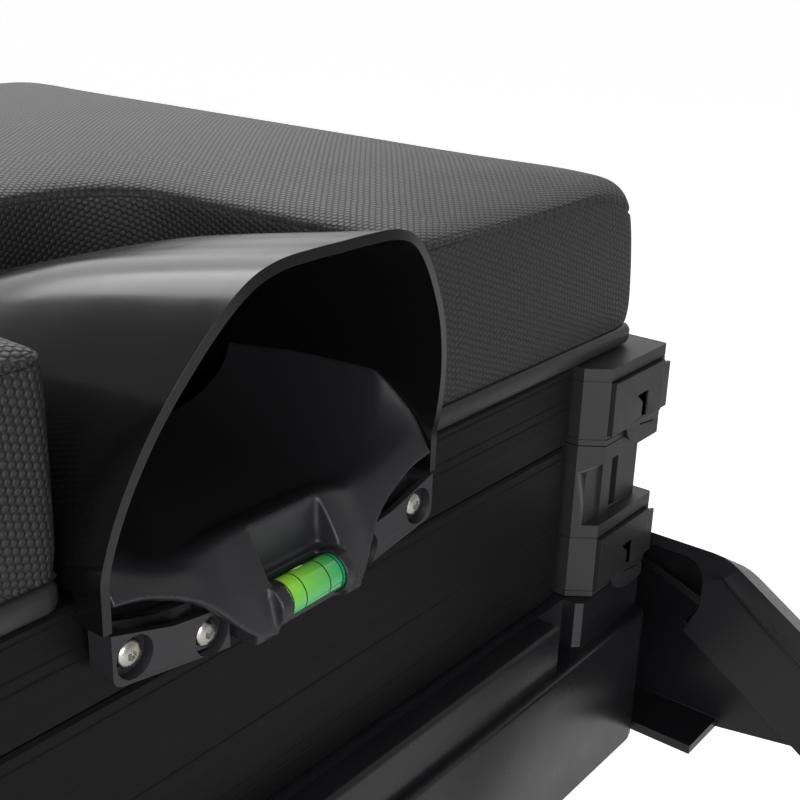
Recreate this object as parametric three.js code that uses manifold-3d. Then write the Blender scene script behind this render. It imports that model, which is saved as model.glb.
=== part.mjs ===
import * as THREE from "three";
import { mergeVertices } from "three/addons/utils/BufferGeometryUtils.js";
import Module from "manifold-3d";

const wasm = await Module();
wasm.setup();

// Fishing seat box: a cushioned lid with a pole snug, two stacked tray modules and a chassis on four legs.
// Millimetres, +Z up, the snug faces -Y, and the origin lies on the ground under the middle of the box.

// Overall sizes
const seatWidth = 400;
const seatDepth = 360;
const lipHeight = 8;
const upperModuleHeight = 29.6;
const lowerModuleHeight = 62;
const frameHeight = 80;
const groundClearance = 214;
const stackGap = 0.4;
const seatGap = 0.3;
const overrun = 1;
const weldTolerance = 1e-4;
const cornerSteps = 3;
const quarterTurn = Math.PI / 2;

// Levels that follow from them
const frameBottomZ = groundClearance;
const frameTopZ = frameBottomZ + frameHeight;
const lowerBottomZ = frameTopZ + stackGap;
const lowerTopZ = lowerBottomZ + lowerModuleHeight;
const upperBottomZ = lowerTopZ + stackGap;
const upperTopZ = upperBottomZ + upperModuleHeight;
const baseBottomZ = upperTopZ + stackGap;
const lipTopZ = baseBottomZ + lipHeight;
const halfWidth = seatWidth / 2;
const halfDepth = seatDepth / 2;

// The cut-out at the front of the seat, which the snug stands in
const notch = { mouthHalfWidth: 64.5, rearHalfWidth: 63, depth: 131, mouthRadius: 5, rearRadius: 42 };

// Moulded board under the cushion
const base = {
  cornerRadius: 5,
  plateThickness: 3,
  rimWidth: 10,
  edgeRadius: 2.4,
  ribThickness: 3,
  ribDrop: 3.5,
  crossRibShares: [0.25, 0.5, 0.75],
};

// Foam cushion with one seam round its side
const cushion = {
  inset: 0.8,
  wallInset: -0.8,
  seamHeight: 51,
  seamDepth: 1.8,
  seamHalfWidth: 1.4,
  edgeHeight: 54,
  edgeRadius: 12,
  edgeRise: 3,
  crown: 6.5,
  bulge: 1.2,
  cornerRadius: 20,
  innerRound: 5,
  outerRound: 12,
  frontFall: 3,
  frontSteps: 4,
  halfStations: 17,
};
// The side below the seam as shares of its bulge and of the seam's height, and the turn above the seam
const cushionSideShares = [[1, 0], [0, 0.22], [0, 0.7]];
const cushionEdgeShares = { seamShoulder: 0.45, turn: 0.3 };
const cushionTopShares = [0.13, 0.31, 0.5, 0.69, 0.87];

// Snug, in its own frame: x from its middle, y from the front of the lip, z from the top of the lip
const snug = {
  halfWidth: 62.3,
  legDrop: 12.6,
  mouthY: -9,
  mouthLean: 0.217,
  mouthHeight: 70,
  rearY: 124,
  rearHeight: 33,
  bow: 1.5,
  wall: 2.6,
  sideDrop: 5,
  sideGap: 2.2,
};
const hood = { archSteps: 26, lengthSteps: 10, leanShare: 0.5 };
// Half of the arch from its foot to its crown, as shares of its half width and its height
const hoodArchShares = [
  [1, 0],
  [1, 0.06],
  [0.977, 0.2],
  [0.928, 0.357],
  [0.843, 0.536],
  [0.73, 0.7],
  [0.6, 0.85],
  [0.47, 0.95],
  [0.33, 0.992],
  [0.16, 1],
  [0, 1],
];
const bracket = {
  frontY: -9.5,
  backY: 1.1,
  outerX: 60.5,
  kneeX: 42,
  innerX: 23.5,
  outerTopZ: -13,
  kneeTopZ: -18.5,
  innerTopZ: -21,
  outerBottomZ: -27,
  kneeBottomZ: -33,
  cornerRadius: 3,
  strapTopZ: -10,
  strapThickness: 3.1,
  tabThickness: 2,
  tabDrop: 16,
  tabWidth: 12,
  ledgeDepth: 3,
  ledgeWall: 2,
};
const cup = {
  halfWidth: 59.2,
  floorZ: -7,
  rimZ: 15.6,
  rearRimZ: 10,
  rearY: 72,
  rimY: 13,
  floorFrontY: 2,
  lipY: -14,
  lipZ: -25,
  lipEndY: -9.5,
  lipEndZ: -6,
  sideRound: 32,
  wall: 2.6,
  flatShare: 0.4,
  midShare: 0.5,
  acrossSteps: 20,
  sideClearance: 0.5,
  noseShoulderShare: 0.5,
  noseHalfWidth: 22,
  noseFrontY: -20.5,
  noseBottomZ: -32.6,
  noseTopY: -6,
  cheekWidth: 3,
  cheekRise: 2,
  cheekReach: 3,
  noseRound: 3.2,
  noseBevel: 1.5,
  recessHalfWidth: 12.2,
  recessTopY: -4.5,
  recessTopZ: -2,
  recessFloorY: -7.5,
  recessBottomZ: -29.8,
};
// The trough's front rows: shares of the floor's way to the lip, of the rim's way down to the lip's ends,
// and of how far the section has turned from an arc to the slopes on both sides of the nose
const cupFrontShares = [
  [0, 0.02, 0.12, 0.02, 0],
  [0.15, 0.07, 0.31, 0.16, 0.1],
  [0.36, 0.18, 0.53, 0.36, 0.3],
  [0.58, 0.38, 0.73, 0.56, 0.55],
  [0.8, 0.66, 0.9, 0.82, 0.8],
  [1, 1, 1, 1, 1],
];
// The sloping section as shares of the half width and of the rise
const cupSlopeShares = [[0, 0], [0.35, 0], [0.4, 0.18], [0.46, 0.34], [0.64, 0.68], [0.84, 0.95], [1, 1]];
const vial = { radius: 5.2, length: 22, y: -13.2, z: -24, edge: 0.6, sides: 20 };
const screw = {
  headRadius: 3.8,
  headHeight: 2.2,
  shankRadius: 2,
  socketRadius: 1.45,
  socketSides: 6,
  socketDepth: 1.3,
  recessRadius: 5.6,
  recessDepth: 3.4,
  holeRadius: 2.3,
  outerX: 53.9,
  outerZ: -21.4,
  innerX: 29.6,
  innerZ: -26.8,
  shankEndY: 9,
  sides: 12,
  holeSides: 12,
  recessSides: 16,
};
const screwDomeShares = [[1, 0], [1, 0.25], [0.9, 0.6], [0.66, 0.88], [0.5, 1], [0, 1]];

// Aluminium side panels of both modules
const panel = {
  inset: 1.5,
  thickness: 5,
  endGap: 4.5,
  ledgeReach: 6,
  ledgeThickness: 2,
  ledgeInset: 9,
  groovePitch: 5.2,
  grooveWidth: 1,
  grooveDepth: 0.7,
  grooveMargin: 4.4,
};
const trayFloor = {
  thickness: 2.5,
  edgeInset: 9.2,
  ribHeight: 1.5,
  ribWidth: 4,
  ribPitch: 60,
  cornerGap: 1,
};

// Corner posts, measured from the corner of the lip: x outward, y inward
const post = {
  armLength: 41,
  proud: 10,
  slimProud: 4,
  outerRadius: 7,
  wingLength: 12,
  wingStart: 7,
  wingEnd: 10,
  collarHeight: 4,
  collarTaper: 6,
  blockHeight: 28,
  blockBaseHeight: 33,
  blockProud: 13,
  blockLift: 3,
  blockInset: 0.5,
  blockEnd: 5,
  blockChamfer: 2,
  slotWidth: 4,
  slotDepth: 3,
  slotStart: 33,
  ribWidth: 3,
  ribProud: 1.6,
};
const clip = {
  proud: 14,
  thickness: 4,
  start: 36.2,
  end: 2.8,
  knuckleRadius: 3.5,
  axisLift: 22,
  lift: 0.6,
  clearance: 0.5,
  toeDrop: 5.4,
  toeWidth: 13,
  cornerCut: 5,
  toeThickness: 1.6,
  holeWidth: 8,
  holeHeight: 10,
  holeDepth: 2,
  pinRadius: 1.5,
  pinLength: 1.6,
  lipHeight: 3,
  lipProud: 1.2,
  roundShare: 0.9,
  holeX: -12,
  holeZ: 8,
  pinSides: 8,
  knuckleSides: 12,
};

// Lid hinges on the rear panel
const hinge = {
  offsetX: 110,
  length: 60,
  leafThickness: 2,
  lowerLeafHeight: 20,
  knuckleRadius: 3.2,
  pinRadius: 1.5,
  pinClearance: 0.3,
  middleShare: 0.4,
  knuckleGap: 0.4,
  sides: 16,
};

// Chassis frame, side mouldings and legs
const frame = {
  proud: 12,
  slotDepth: 10,
  edgeRadius: 2,
  ledgeHalfWidth: 141,
  sideWall: 6,
  endWall: 9,
  deckDepth: 12,
  deckThickness: 3,
  bossHeight: 17,
  bossProud: 12,
  stepDrop: 19,
  stepProud: 16,
  stepSideProud: 8,
  stepRadius: 8,
  stepBevel: 1.5,
  bossSideProud: 8,
  bossChamfer: 3,
  bossRadius: 6,
  ribThickness: 3,
  ribHeight: 24,
  ribShares: [0.2, 0.4, 0.6, 0.8],
};
const hull = {
  innerX: 214,
  outerX: 238,
  topRise: 10.5,
  skin: 4,
  innerPlate: 3.5,
  flange: 5.4,
  shoulderSlope: 0.57,
  beadDrop: 9,
  beadWidth: 2,
  beadProud: 1,
  bendY: 43,
  bendRadius: 20,
  slope: 0.64,
  barHeight: 38.5,
  openingRise: 13,
  ribSlope: 0.36,
  beadSlope: 0.76,
  mitreShare: 0.5,
  openingY: 34,
  openingBackY: 26,
  openingLowY: 28,
  openingRadius: 8,
  skirtY: 40,
  skirtRise: 4,
  ribDrop: 11,
  ribThickness: 4,
  ribDepth: 6,
};
const leg = {
  x: 226,
  y: 106,
  radius: 15,
  boreRadius: 13,
  boreDepth: 60,
  clearance: 0.4,
  socketWall: 6.6,
  socketHeight: 62,
  socketTopDrop: 11.2,
  topRise: 20,
  bottomZ: 24,
  capRadius: 2,
  sides: 20,
  boltSides: 10,
};
const foot = {
  radius: 32,
  thickness: 6,
  edge: 2,
  neckRadius: 7,
  ballRadius: 12.6,
  ballZ: 34,
  ballSteps: 5,
  sides: 18,
};
const knob = {
  radius: 13,
  length: 18,
  studRadius: 4,
  lobes: 6,
  lobeDepth: 2,
  points: 24,
  gripGap: 0.5,
  chamfer: 2,
};

// Materials
function plastic(color, roughness) {
  return new THREE.MeshStandardMaterial({ color, roughness, metalness: 0 });
}
function metal(color, roughness) {
  return new THREE.MeshStandardMaterial({ color, roughness, metalness: 1 });
}
const looks = {
  vinyl: plastic("#3b3b3e", 0.6),
  board: plastic("#2a2a2c", 0.5),
  hood: plastic("#18181a", 0.35),
  cup: plastic("#1c1c1f", 0.45),
  liquid: plastic("#4be04a", 0.1),
  steel: metal("#c9c9c6", 0.3),
  panel: metal("#232427", 0.45),
  tray: plastic("#1b1b1d", 0.6),
  post: plastic("#3a3a3c", 0.5),
  frame: plastic("#2c2c2f", 0.55),
  leg: metal("#4a4b4e", 0.35),
  knob: plastic("#202022", 0.5),
};

// Solids: a closed mesh becomes a manifold, and a manifold becomes a mesh again
function solidOf(geometry) {
  const bare = geometry.index ? geometry.toNonIndexed() : geometry.clone();
  bare.deleteAttribute("normal");
  bare.deleteAttribute("uv");
  const merged = mergeVertices(bare, weldTolerance);
  const triVerts = new Uint32Array(merged.index.array);
  if (signedVolume(merged) < 0) triVerts.reverse();
  return new wasm.Manifold(
    new wasm.Mesh({ numProp: 3, vertProperties: merged.attributes.position.array, triVerts }),
  );
}
function signedVolume(geometry) {
  const corners = [new THREE.Vector3(), new THREE.Vector3(), new THREE.Vector3()];
  const index = geometry.index.array;
  let sum = 0;
  for (let i = 0; i < index.length; i += 3) {
    corners.forEach((corner, k) => corner.fromBufferAttribute(geometry.attributes.position, index[i + k]));
    sum += corners[0].dot(corners[1].clone().cross(corners[2]));
  }
  return sum;
}
function geometryOf(solid) {
  const mesh = solid.getMesh();
  const geometry = new THREE.BufferGeometry();
  geometry.setAttribute("position", new THREE.BufferAttribute(new Float32Array(mesh.vertProperties), 3));
  geometry.setIndex(new THREE.BufferAttribute(new Uint32Array(mesh.triVerts), 1));
  geometry.computeVertexNormals();
  return geometry;
}
function union(solids) {
  return solids.reduce((all, solid) => all.add(solid));
}
function meshOf(name, solid, material) {
  const mesh = new THREE.Mesh(geometryOf(solid), material);
  mesh.name = name;
  return mesh;
}

// An outline of corners [x, y, radius], each rounded by an arc
function roundedOutline(corners) {
  const points = [];
  corners.forEach(([x, y, radius], i) => {
    const here = new THREE.Vector2(x, y);
    if (!radius) {
      points.push(here);
      return;
    }
    const last = corners[(i + corners.length - 1) % corners.length];
    const next = corners[(i + 1) % corners.length];
    const back = new THREE.Vector2(last[0], last[1]).sub(here).normalize();
    const ahead = new THREE.Vector2(next[0], next[1]).sub(here).normalize();
    const half = Math.acos(THREE.MathUtils.clamp(back.dot(ahead), -1, 1)) / 2;
    const centre = here
      .clone()
      .add(back.clone().add(ahead).normalize().multiplyScalar(radius / Math.sin(half)));
    const from = here.clone().addScaledVector(back, radius / Math.tan(half)).sub(centre);
    const to = here.clone().addScaledVector(ahead, radius / Math.tan(half)).sub(centre);
    const sweep = Math.atan2(from.cross(to), from.dot(to));
    for (let k = 0; k <= cornerSteps; k++) {
      const turned = from.clone().rotateAround(new THREE.Vector2(), (sweep * k) / cornerSteps);
      points.push(turned.add(centre));
    }
  });
  return points;
}
function shapeOf(corners, holes = []) {
  const shape = new THREE.Shape(roundedOutline(corners));
  shape.holes = holes.map((hole) => new THREE.Path(roundedOutline(hole)));
  return shape;
}
function extruded(shape, depth, bevel) {
  const options = { depth, bevelEnabled: false };
  if (bevel) {
    options.bevelEnabled = true;
    options.bevelSize = bevel;
    options.bevelThickness = bevel;
    options.bevelOffset = -bevel;
    options.bevelSegments = 2;
    options.depth = depth - bevel * 2;
  }
  const geometry = new THREE.ExtrudeGeometry(shape, options);
  if (bevel) geometry.translate(0, 0, bevel);
  return geometry;
}
// The same outline swept along z, along x with (y, z) outlines, or along y with (x, z) outlines
function prismZ(corners, z0, z1, { holes, bevel } = {}) {
  return solidOf(extruded(shapeOf(corners, holes), z1 - z0, bevel).translate(0, 0, z0));
}
function prismX(corners, x0, x1, { holes, bevel } = {}) {
  const axes = new THREE.Matrix4().makeBasis(
    new THREE.Vector3(0, 1, 0),
    new THREE.Vector3(0, 0, 1),
    new THREE.Vector3(1, 0, 0),
  );
  const geometry = extruded(shapeOf(corners, holes), x1 - x0, bevel).applyMatrix4(axes);
  return solidOf(geometry.translate(x0, 0, 0));
}
function prismY(corners, y0, y1, { holes, bevel } = {}) {
  const axes = new THREE.Matrix4().makeBasis(
    new THREE.Vector3(1, 0, 0),
    new THREE.Vector3(0, 0, 1),
    new THREE.Vector3(0, -1, 0),
  );
  const geometry = extruded(shapeOf(corners, holes), y1 - y0, bevel).applyMatrix4(axes);
  return solidOf(geometry.translate(0, y1, 0));
}
function box(x0, x1, y0, y1, z0, z1) {
  const geometry = new THREE.BoxGeometry(x1 - x0, y1 - y0, z1 - z0);
  return solidOf(geometry.translate((x0 + x1) / 2, (y0 + y1) / 2, (z0 + z1) / 2));
}
function rodX(radius, x0, x1, y, z, sides) {
  const geometry = new THREE.CylinderGeometry(radius, radius, x1 - x0, sides).rotateZ(quarterTurn);
  return solidOf(geometry.translate((x0 + x1) / 2, y, z));
}
function rodY(radius, y0, y1, x, z, sides) {
  const geometry = new THREE.CylinderGeometry(radius, radius, y1 - y0, sides);
  return solidOf(geometry.translate(x, (y0 + y1) / 2, z));
}
function rodZ(radius, z0, z1, x, y, sides) {
  const geometry = new THREE.CylinderGeometry(radius, radius, z1 - z0, sides).rotateX(quarterTurn);
  return solidOf(geometry.translate(x, y, (z0 + z1) / 2));
}
// A profile of [radius, height] turned round the z axis
function turnedZ(profile, sides) {
  const points = profile.map(([radius, height]) => new THREE.Vector2(radius, height));
  return solidOf(new THREE.LatheGeometry(points, sides).rotateX(quarterTurn));
}

// Triangles that fill a flat ring of points, turning the same way as the ring
function trianglesOf(ring) {
  const normal = new THREE.Vector3();
  ring.forEach((point, k) => normal.add(point.clone().cross(ring[(k + 1) % ring.length])));
  const side = ring[1].clone().sub(ring[0]).normalize();
  const up = normal.normalize().clone().cross(side);
  const flat = ring.map((point) => new THREE.Vector2(point.dot(side), point.dot(up)));
  return THREE.ShapeUtils.triangulateShape(flat, []);
}
// A closed skin through rings of points, each ring with the same count and flat at both ends
function lofted(rings) {
  const count = rings[0].length;
  const positions = [];
  rings.flat().forEach((point) => positions.push(point.x, point.y, point.z));
  const index = [];
  for (let r = 0; r + 1 < rings.length; r++) {
    for (let k = 0; k < count; k++) {
      const a = r * count + k;
      const b = r * count + ((k + 1) % count);
      index.push(a, b, a + count, b, b + count, a + count);
    }
  }
  [0, rings.length - 1].forEach((r) => {
    trianglesOf(rings[r]).forEach(([a, b, c]) => {
      index.push(...(r ? [a, b, c] : [a, c, b]).map((k) => r * count + k));
    });
  });
  return solidOf(indexedGeometry(positions, index));
}
function indexedGeometry(positions, index) {
  const geometry = new THREE.BufferGeometry();
  geometry.setAttribute("position", new THREE.Float32BufferAttribute(positions, 3));
  geometry.setIndex(index);
  return geometry;
}
// A shell of the given wall on the inner side of a surface of u and v shares
function shelled(surface, uCount, vCount, wall) {
  const nudge = 1e-3;
  const outer = [];
  const inner = [];
  for (let j = 0; j <= vCount; j++) {
    for (let i = 0; i <= uCount; i++) {
      const u = i / uCount;
      const v = j / vCount;
      const point = surface(u, v);
      const along = surface(Math.min(u + nudge, 1), v).sub(surface(Math.max(u - nudge, 0), v));
      const across = surface(u, Math.min(v + nudge, 1)).sub(surface(u, Math.max(v - nudge, 0)));
      const normal = along.cross(across).normalize();
      outer.push(point);
      inner.push(point.clone().addScaledVector(normal, -wall));
    }
  }
  const positions = [...outer, ...inner].flatMap((p) => [p.x, p.y, p.z]);
  const row = uCount + 1;
  const back = outer.length;
  const index = [];
  const quad = (a, b, c, d) => index.push(a, b, c, a, c, d);
  for (let j = 0; j < vCount; j++) {
    for (let i = 0; i < uCount; i++) {
      const a = j * row + i;
      quad(a, a + 1, a + row + 1, a + row);
      quad(back + a, back + a + row, back + a + row + 1, back + a + 1);
    }
  }
  for (let i = 0; i < uCount; i++) {
    const last = vCount * row + i;
    quad(i + 1, i, back + i, back + i + 1);
    quad(last, last + 1, back + last + 1, back + last);
  }
  for (let j = 0; j < vCount; j++) {
    const a = j * row;
    const b = a + uCount;
    quad(a, a + row, back + a + row, back + a);
    quad(b + row, b, back + b, back + b + row);
  }
  return solidOf(indexedGeometry(positions, index));
}
const lerp = THREE.MathUtils.lerp;
const smoothstep = THREE.MathUtils.smoothstep;

// Plan of the seat: a rectangle with the cut-out at its front, drawn in by an inset
function seatCorners(inset, cornerRadius) {
  const side = halfWidth - inset;
  const front = inset - halfDepth;
  const mouth = notch.mouthHalfWidth + inset;
  const rear = notch.rearHalfWidth + inset;
  const bottom = notch.depth - halfDepth + inset;
  return [
    [mouth, front, notch.mouthRadius],
    [side, front, cornerRadius],
    [side, -front, cornerRadius],
    [-side, -front, cornerRadius],
    [-side, front, cornerRadius],
    [-mouth, front, notch.mouthRadius],
    [-rear, bottom, notch.rearRadius],
    [rear, bottom, notch.rearRadius],
  ];
}
function seatBase() {
  const plateBottomZ = lipTopZ - base.plateThickness;
  const plate = prismZ(seatCorners(0, base.cornerRadius), baseBottomZ, lipTopZ, { bevel: base.edgeRadius });
  const well = prismZ(seatCorners(base.rimWidth, base.cornerRadius), baseBottomZ - overrun, plateBottomZ);
  const ribTop = plateBottomZ + overrun;
  const ribBottom = plateBottomZ - base.ribDrop;
  const notchRear = notch.depth - halfDepth;
  const ribReach = halfWidth - base.rimWidth / 2;
  const ribHalf = base.ribThickness / 2;
  const ribs = base.crossRibShares.map((share) => {
    const y = lerp(notchRear, halfDepth, share);
    return box(-ribReach, ribReach, y - ribHalf, y + ribHalf, ribBottom, ribTop);
  });
  const lobeMiddle = (halfWidth + notch.mouthHalfWidth) / 2;
  const lobeReach = halfDepth - base.rimWidth / 2;
  [-lobeMiddle, lobeMiddle].forEach((x) => {
    ribs.push(box(x - ribHalf, x + ribHalf, -lobeReach, lobeReach, ribBottom, ribTop));
  });
  return meshOf("seat_base", plate.subtract(well).add(union(ribs)), looks.board);
}

// The cushion is a band round the cut-out: each section runs from the inner wall to the outer wall
function seatCushion() {
  const side = halfWidth - cushion.inset;
  const front = cushion.inset - halfDepth;
  const innerStart = front + cushion.innerRound;
  const outerStart = front + cushion.outerRound;
  const mouth = notch.mouthHalfWidth + cushion.wallInset;
  const rear = notch.rearHalfWidth + cushion.wallInset;
  const bottom = notch.depth - halfDepth + cushion.wallInset;
  const outerPath = bentPath([[-side, outerStart], [-side, -front], [0, -front]], cushion.cornerRadius);
  const innerPath = bentPath([[-mouth, innerStart], [-rear, bottom], [0, bottom]], notch.rearRadius);
  const half = [];
  for (let k = 0; k < cushion.frontSteps; k++) {
    const angle = (quarterTurn * k) / cushion.frontSteps;
    const [forward, inward] = [-Math.cos(angle), 1 - Math.sin(angle)];
    const innerShift = new THREE.Vector2(-inward, forward).multiplyScalar(cushion.innerRound);
    const outerShift = new THREE.Vector2(inward, forward).multiplyScalar(cushion.outerRound);
    half.push({
      inner: innerPath.getPointAt(0).add(innerShift),
      outer: outerPath.getPointAt(0).add(outerShift),
      fall: cushion.frontFall * inward,
    });
  }
  for (let k = 0; k <= cushion.halfStations; k++) {
    const share = k / cushion.halfStations;
    half.push({ inner: innerPath.getPointAt(share), outer: outerPath.getPointAt(share), fall: 0 });
  }
  const mirror = (point) => new THREE.Vector2(-point.x, point.y);
  const otherHalf = half.slice(0, -1).reverse().map(({ inner, outer, fall }) => {
    return { inner: mirror(inner), outer: mirror(outer), fall };
  });
  return meshOf("seat_cushion", lofted([...half, ...otherHalf].map(cushionRing)), looks.vinyl);
}
// Two straight runs joined by a curve of the given reach
function bentPath(points, reach) {
  const [start, corner, end] = points.map(([x, y]) => new THREE.Vector2(x, y));
  const from = corner.clone().add(start.clone().sub(corner).setLength(reach));
  const to = corner.clone().add(end.clone().sub(corner).setLength(reach));
  const path = new THREE.CurvePath();
  path.add(new THREE.LineCurve(start, from));
  path.add(new THREE.QuadraticBezierCurve(from, corner, to));
  path.add(new THREE.LineCurve(to, end));
  return path;
}
function cushionRing({ inner, outer, fall }) {
  const width = outer.distanceTo(inner);
  const unit = outer.clone().sub(inner).normalize();
  const wall = cushionSide(fall);
  const topStart = cushion.edgeRadius;
  const edgeZ = cushion.edgeHeight + cushion.edgeRise - fall;
  const top = cushionTopShares.map((share) => {
    const across = lerp(topStart, width - topStart, share);
    return [across, edgeZ + cushion.crown * Math.sin(Math.PI * share)];
  });
  const otherWall = wall.slice().reverse().map(([inset, z]) => [width - inset, z]);
  return [...wall, ...top, ...otherWall].map(([across, z]) => {
    const plan = inner.clone().addScaledVector(unit, across);
    return new THREE.Vector3(plan.x, plan.y, lipTopZ + z);
  });
}
// The side of the cushion from its foot to the start of its top: [inset, height]
function cushionSide(fall) {
  const { bulge, seamHeight, seamHalfWidth, seamDepth, edgeHeight, edgeRadius, edgeRise } = cushion;
  const rows = cushionSideShares.map(([inset, height]) => [bulge * inset, seamHeight * height]);
  rows[0][1] = seatGap;
  rows.push([seamDepth * cushionEdgeShares.seamShoulder, seamHeight - seamHalfWidth]);
  rows.push([seamDepth, seamHeight]);
  rows.push([seamDepth * cushionEdgeShares.seamShoulder, seamHeight + seamHalfWidth]);
  rows.push([edgeRadius * cushionEdgeShares.turn, edgeHeight - fall * cushionEdgeShares.turn]);
  rows.push([edgeRadius, edgeHeight + edgeRise - fall]);
  return rows;
}

// Half width of the cut-out at a distance from its mouth
function notchHalfWidthAt(y) {
  const { mouthHalfWidth, rearHalfWidth, depth, rearRadius } = notch;
  const straight = lerp(mouthHalfWidth, rearHalfWidth, THREE.MathUtils.clamp(y / depth, 0, 1));
  const past = y - (depth - rearRadius);
  if (past <= 0) return straight;
  return straight - rearRadius + Math.sqrt(Math.max(rearRadius ** 2 - past ** 2, 0));
}

// Half width of the hood's outer face at a distance from the lip's front and a height above the lip
function hoodHalfWidthAt(y, z) {
  const v = THREE.MathUtils.clamp(THREE.MathUtils.inverseLerp(snug.mouthY, snug.rearY, y), 0, 1);
  const share = z / hoodHeightAt(v);
  const above = Math.max(hoodArchShares.findIndex((row) => row[1] > share), 1);
  const [low, high] = [hoodArchShares[above - 1], hoodArchShares[above]];
  const t = THREE.MathUtils.clamp((share - low[1]) / (high[1] - low[1]), 0, 1);
  return lerp(low[0], high[0], t) * Math.min(snug.halfWidth, notchHalfWidthAt(y) - snug.sideGap);
}
function hoodHeightAt(v) {
  return lerp(snug.mouthHeight, snug.rearHeight, v) + snug.bow * Math.sin(Math.PI * v);
}
// Hood: an arch that leans forward at its mouth and falls and narrows towards its rear
function snugHood() {
  const arch = new THREE.SplineCurve([
    ...hoodArchShares.map(([x, z]) => new THREE.Vector2(-x, z)),
    ...hoodArchShares.slice(0, -1).reverse().map(([x, z]) => new THREE.Vector2(x, z)),
  ]);
  const legSteps = 1 / hood.archSteps;
  const surface = (u, v) => {
    const nominalY = lerp(snug.mouthY, snug.rearY, v);
    const height = hoodHeightAt(v);
    const half = Math.min(snug.halfWidth, notchHalfWidthAt(nominalY) - snug.sideGap);
    const t = THREE.MathUtils.clamp((u - legSteps) / (1 - legSteps * 2), 0, 1);
    const point = arch.getPointAt(t);
    const beyond = Math.max(legSteps - u, u - 1 + legSteps, 0) / legSteps;
    const z = point.y * height - beyond * snug.legDrop;
    const lean = snug.mouthLean * (1 - smoothstep(v, 0, hood.leanShare));
    return new THREE.Vector3(point.x * half, nominalY - lean * Math.max(z, 0), z);
  };
  const arched = shelled(surface, hood.archSteps, hood.lengthSteps, snug.wall);
  const behind = snug.rearY + overrun;
  const clearing = box(
    -halfWidth,
    halfWidth,
    bracket.backY,
    behind,
    -snug.legDrop - overrun,
    -snug.sideDrop,
  );
  const innerLeg = snug.halfWidth - snug.wall / 2;
  const tabTop = overrun - snug.legDrop;
  const tabs = [-1, 1].map((side) => {
    const from = side * innerLeg;
    const to = side * (innerLeg - bracket.tabWidth);
    const tab = box(
      Math.min(from, to),
      Math.max(from, to),
      bracket.backY - bracket.tabThickness,
      bracket.backY,
      -snug.legDrop - bracket.tabDrop,
      tabTop,
    );
    const hole = rodY(
      screw.holeRadius,
      -halfDepth,
      halfDepth,
      side * screw.outerX,
      screw.outerZ,
      screw.holeSides,
    );
    return tab.subtract(hole);
  });
  return meshOf("snug_hood", arched.subtract(clearing).add(union(tabs)), looks.hood);
}

// Bracket: two ears with recessed screws, joined by a strap behind the cup
function snugBracket() {
  const ears = [-1, 1].map((side) => {
    const outline = [
      [side * bracket.innerX, bracket.innerTopZ, 0],
      [side * bracket.kneeX, bracket.kneeTopZ, bracket.cornerRadius],
      [side * bracket.outerX, bracket.outerTopZ, 0],
      [side * bracket.outerX, bracket.outerBottomZ, bracket.cornerRadius],
      [side * bracket.innerX, bracket.kneeBottomZ, 0],
    ];
    const drop = bracket.ledgeDepth;
    const ledge = [
      [side * (bracket.innerX + drop * 2), bracket.innerTopZ - drop, 0],
      [side * (bracket.innerX + drop * 2), bracket.outerTopZ + overrun, 0],
      [side * (bracket.outerX - drop), bracket.outerTopZ + overrun, 0],
      [side * (bracket.outerX - drop), bracket.outerTopZ - drop, 0],
      [side * bracket.kneeX, bracket.kneeTopZ - drop, 0],
    ];
    const ear = prismY(outline, bracket.frontY, bracket.backY);
    const pocketBack = bracket.backY - bracket.strapThickness;
    return ear.subtract(prismY(ledge, bracket.frontY + bracket.ledgeWall, pocketBack));
  });
  const strap = box(
    -bracket.innerX - overrun,
    bracket.innerX + overrun,
    bracket.backY - bracket.strapThickness,
    bracket.backY,
    bracket.kneeBottomZ,
    bracket.strapTopZ,
  );
  const cuts = screwPlaces().flatMap(({ x, z }) => [
    rodY(screw.holeRadius, bracket.frontY - overrun, bracket.backY + overrun, x, z, screw.holeSides),
    rodY(
      screw.recessRadius,
      bracket.frontY - overrun,
      bracket.frontY + screw.recessDepth,
      x,
      z,
      screw.recessSides,
    ),
  ]);
  const legInner = snug.halfWidth - snug.wall / 2;
  const pocketInner = legInner - bracket.tabWidth - seatGap;
  [-1, 1].forEach((side) => {
    const ends = [side * pocketInner, side * (bracket.outerX + overrun)].sort((a, b) => a - b);
    cuts.push(
      box(
        ends[0],
        ends[1],
        bracket.backY - bracket.tabThickness - seatGap,
        bracket.backY + overrun,
        -snug.legDrop - bracket.tabDrop - seatGap,
        bracket.outerTopZ + overrun,
      ),
    );
  });
  return meshOf("snug_bracket", union([...ears, strap]).subtract(union(cuts)), looks.cup);
}
function screwPlaces() {
  return [
    { name: "outer_left", x: -screw.outerX, z: screw.outerZ },
    { name: "inner_left", x: -screw.innerX, z: screw.innerZ },
    { name: "inner_right", x: screw.innerX, z: screw.innerZ },
    { name: "outer_right", x: screw.outerX, z: screw.outerZ },
  ];
}
// Button-head screw whose shank goes through the bracket into the module's panel
function snugScrews() {
  const seatY = bracket.frontY + screw.recessDepth - seatGap;
  const headEnd = -seatY;
  return screwPlaces().map(({ name, x, z }) => {
    const dome = screwDomeShares.map(([r, h]) => [r * screw.headRadius, headEnd + h * screw.headHeight]);
    const profile = [[0, -screw.shankEndY], [screw.shankRadius, -screw.shankEndY]];
    profile.push([screw.shankRadius, headEnd], ...dome);
    const body = turnedZ(profile, screw.sides);
    const top = headEnd + screw.headHeight;
    const { socketRadius, socketDepth, socketSides } = screw;
    const socket = rodZ(socketRadius, top - socketDepth, top + overrun, 0, 0, socketSides);
    const mesh = meshOf("snug_screw_" + name, body.subtract(socket), looks.steel);
    mesh.position.set(x, 0, z);
    mesh.rotation.x = quarterTurn;
    return mesh;
  });
}

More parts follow.
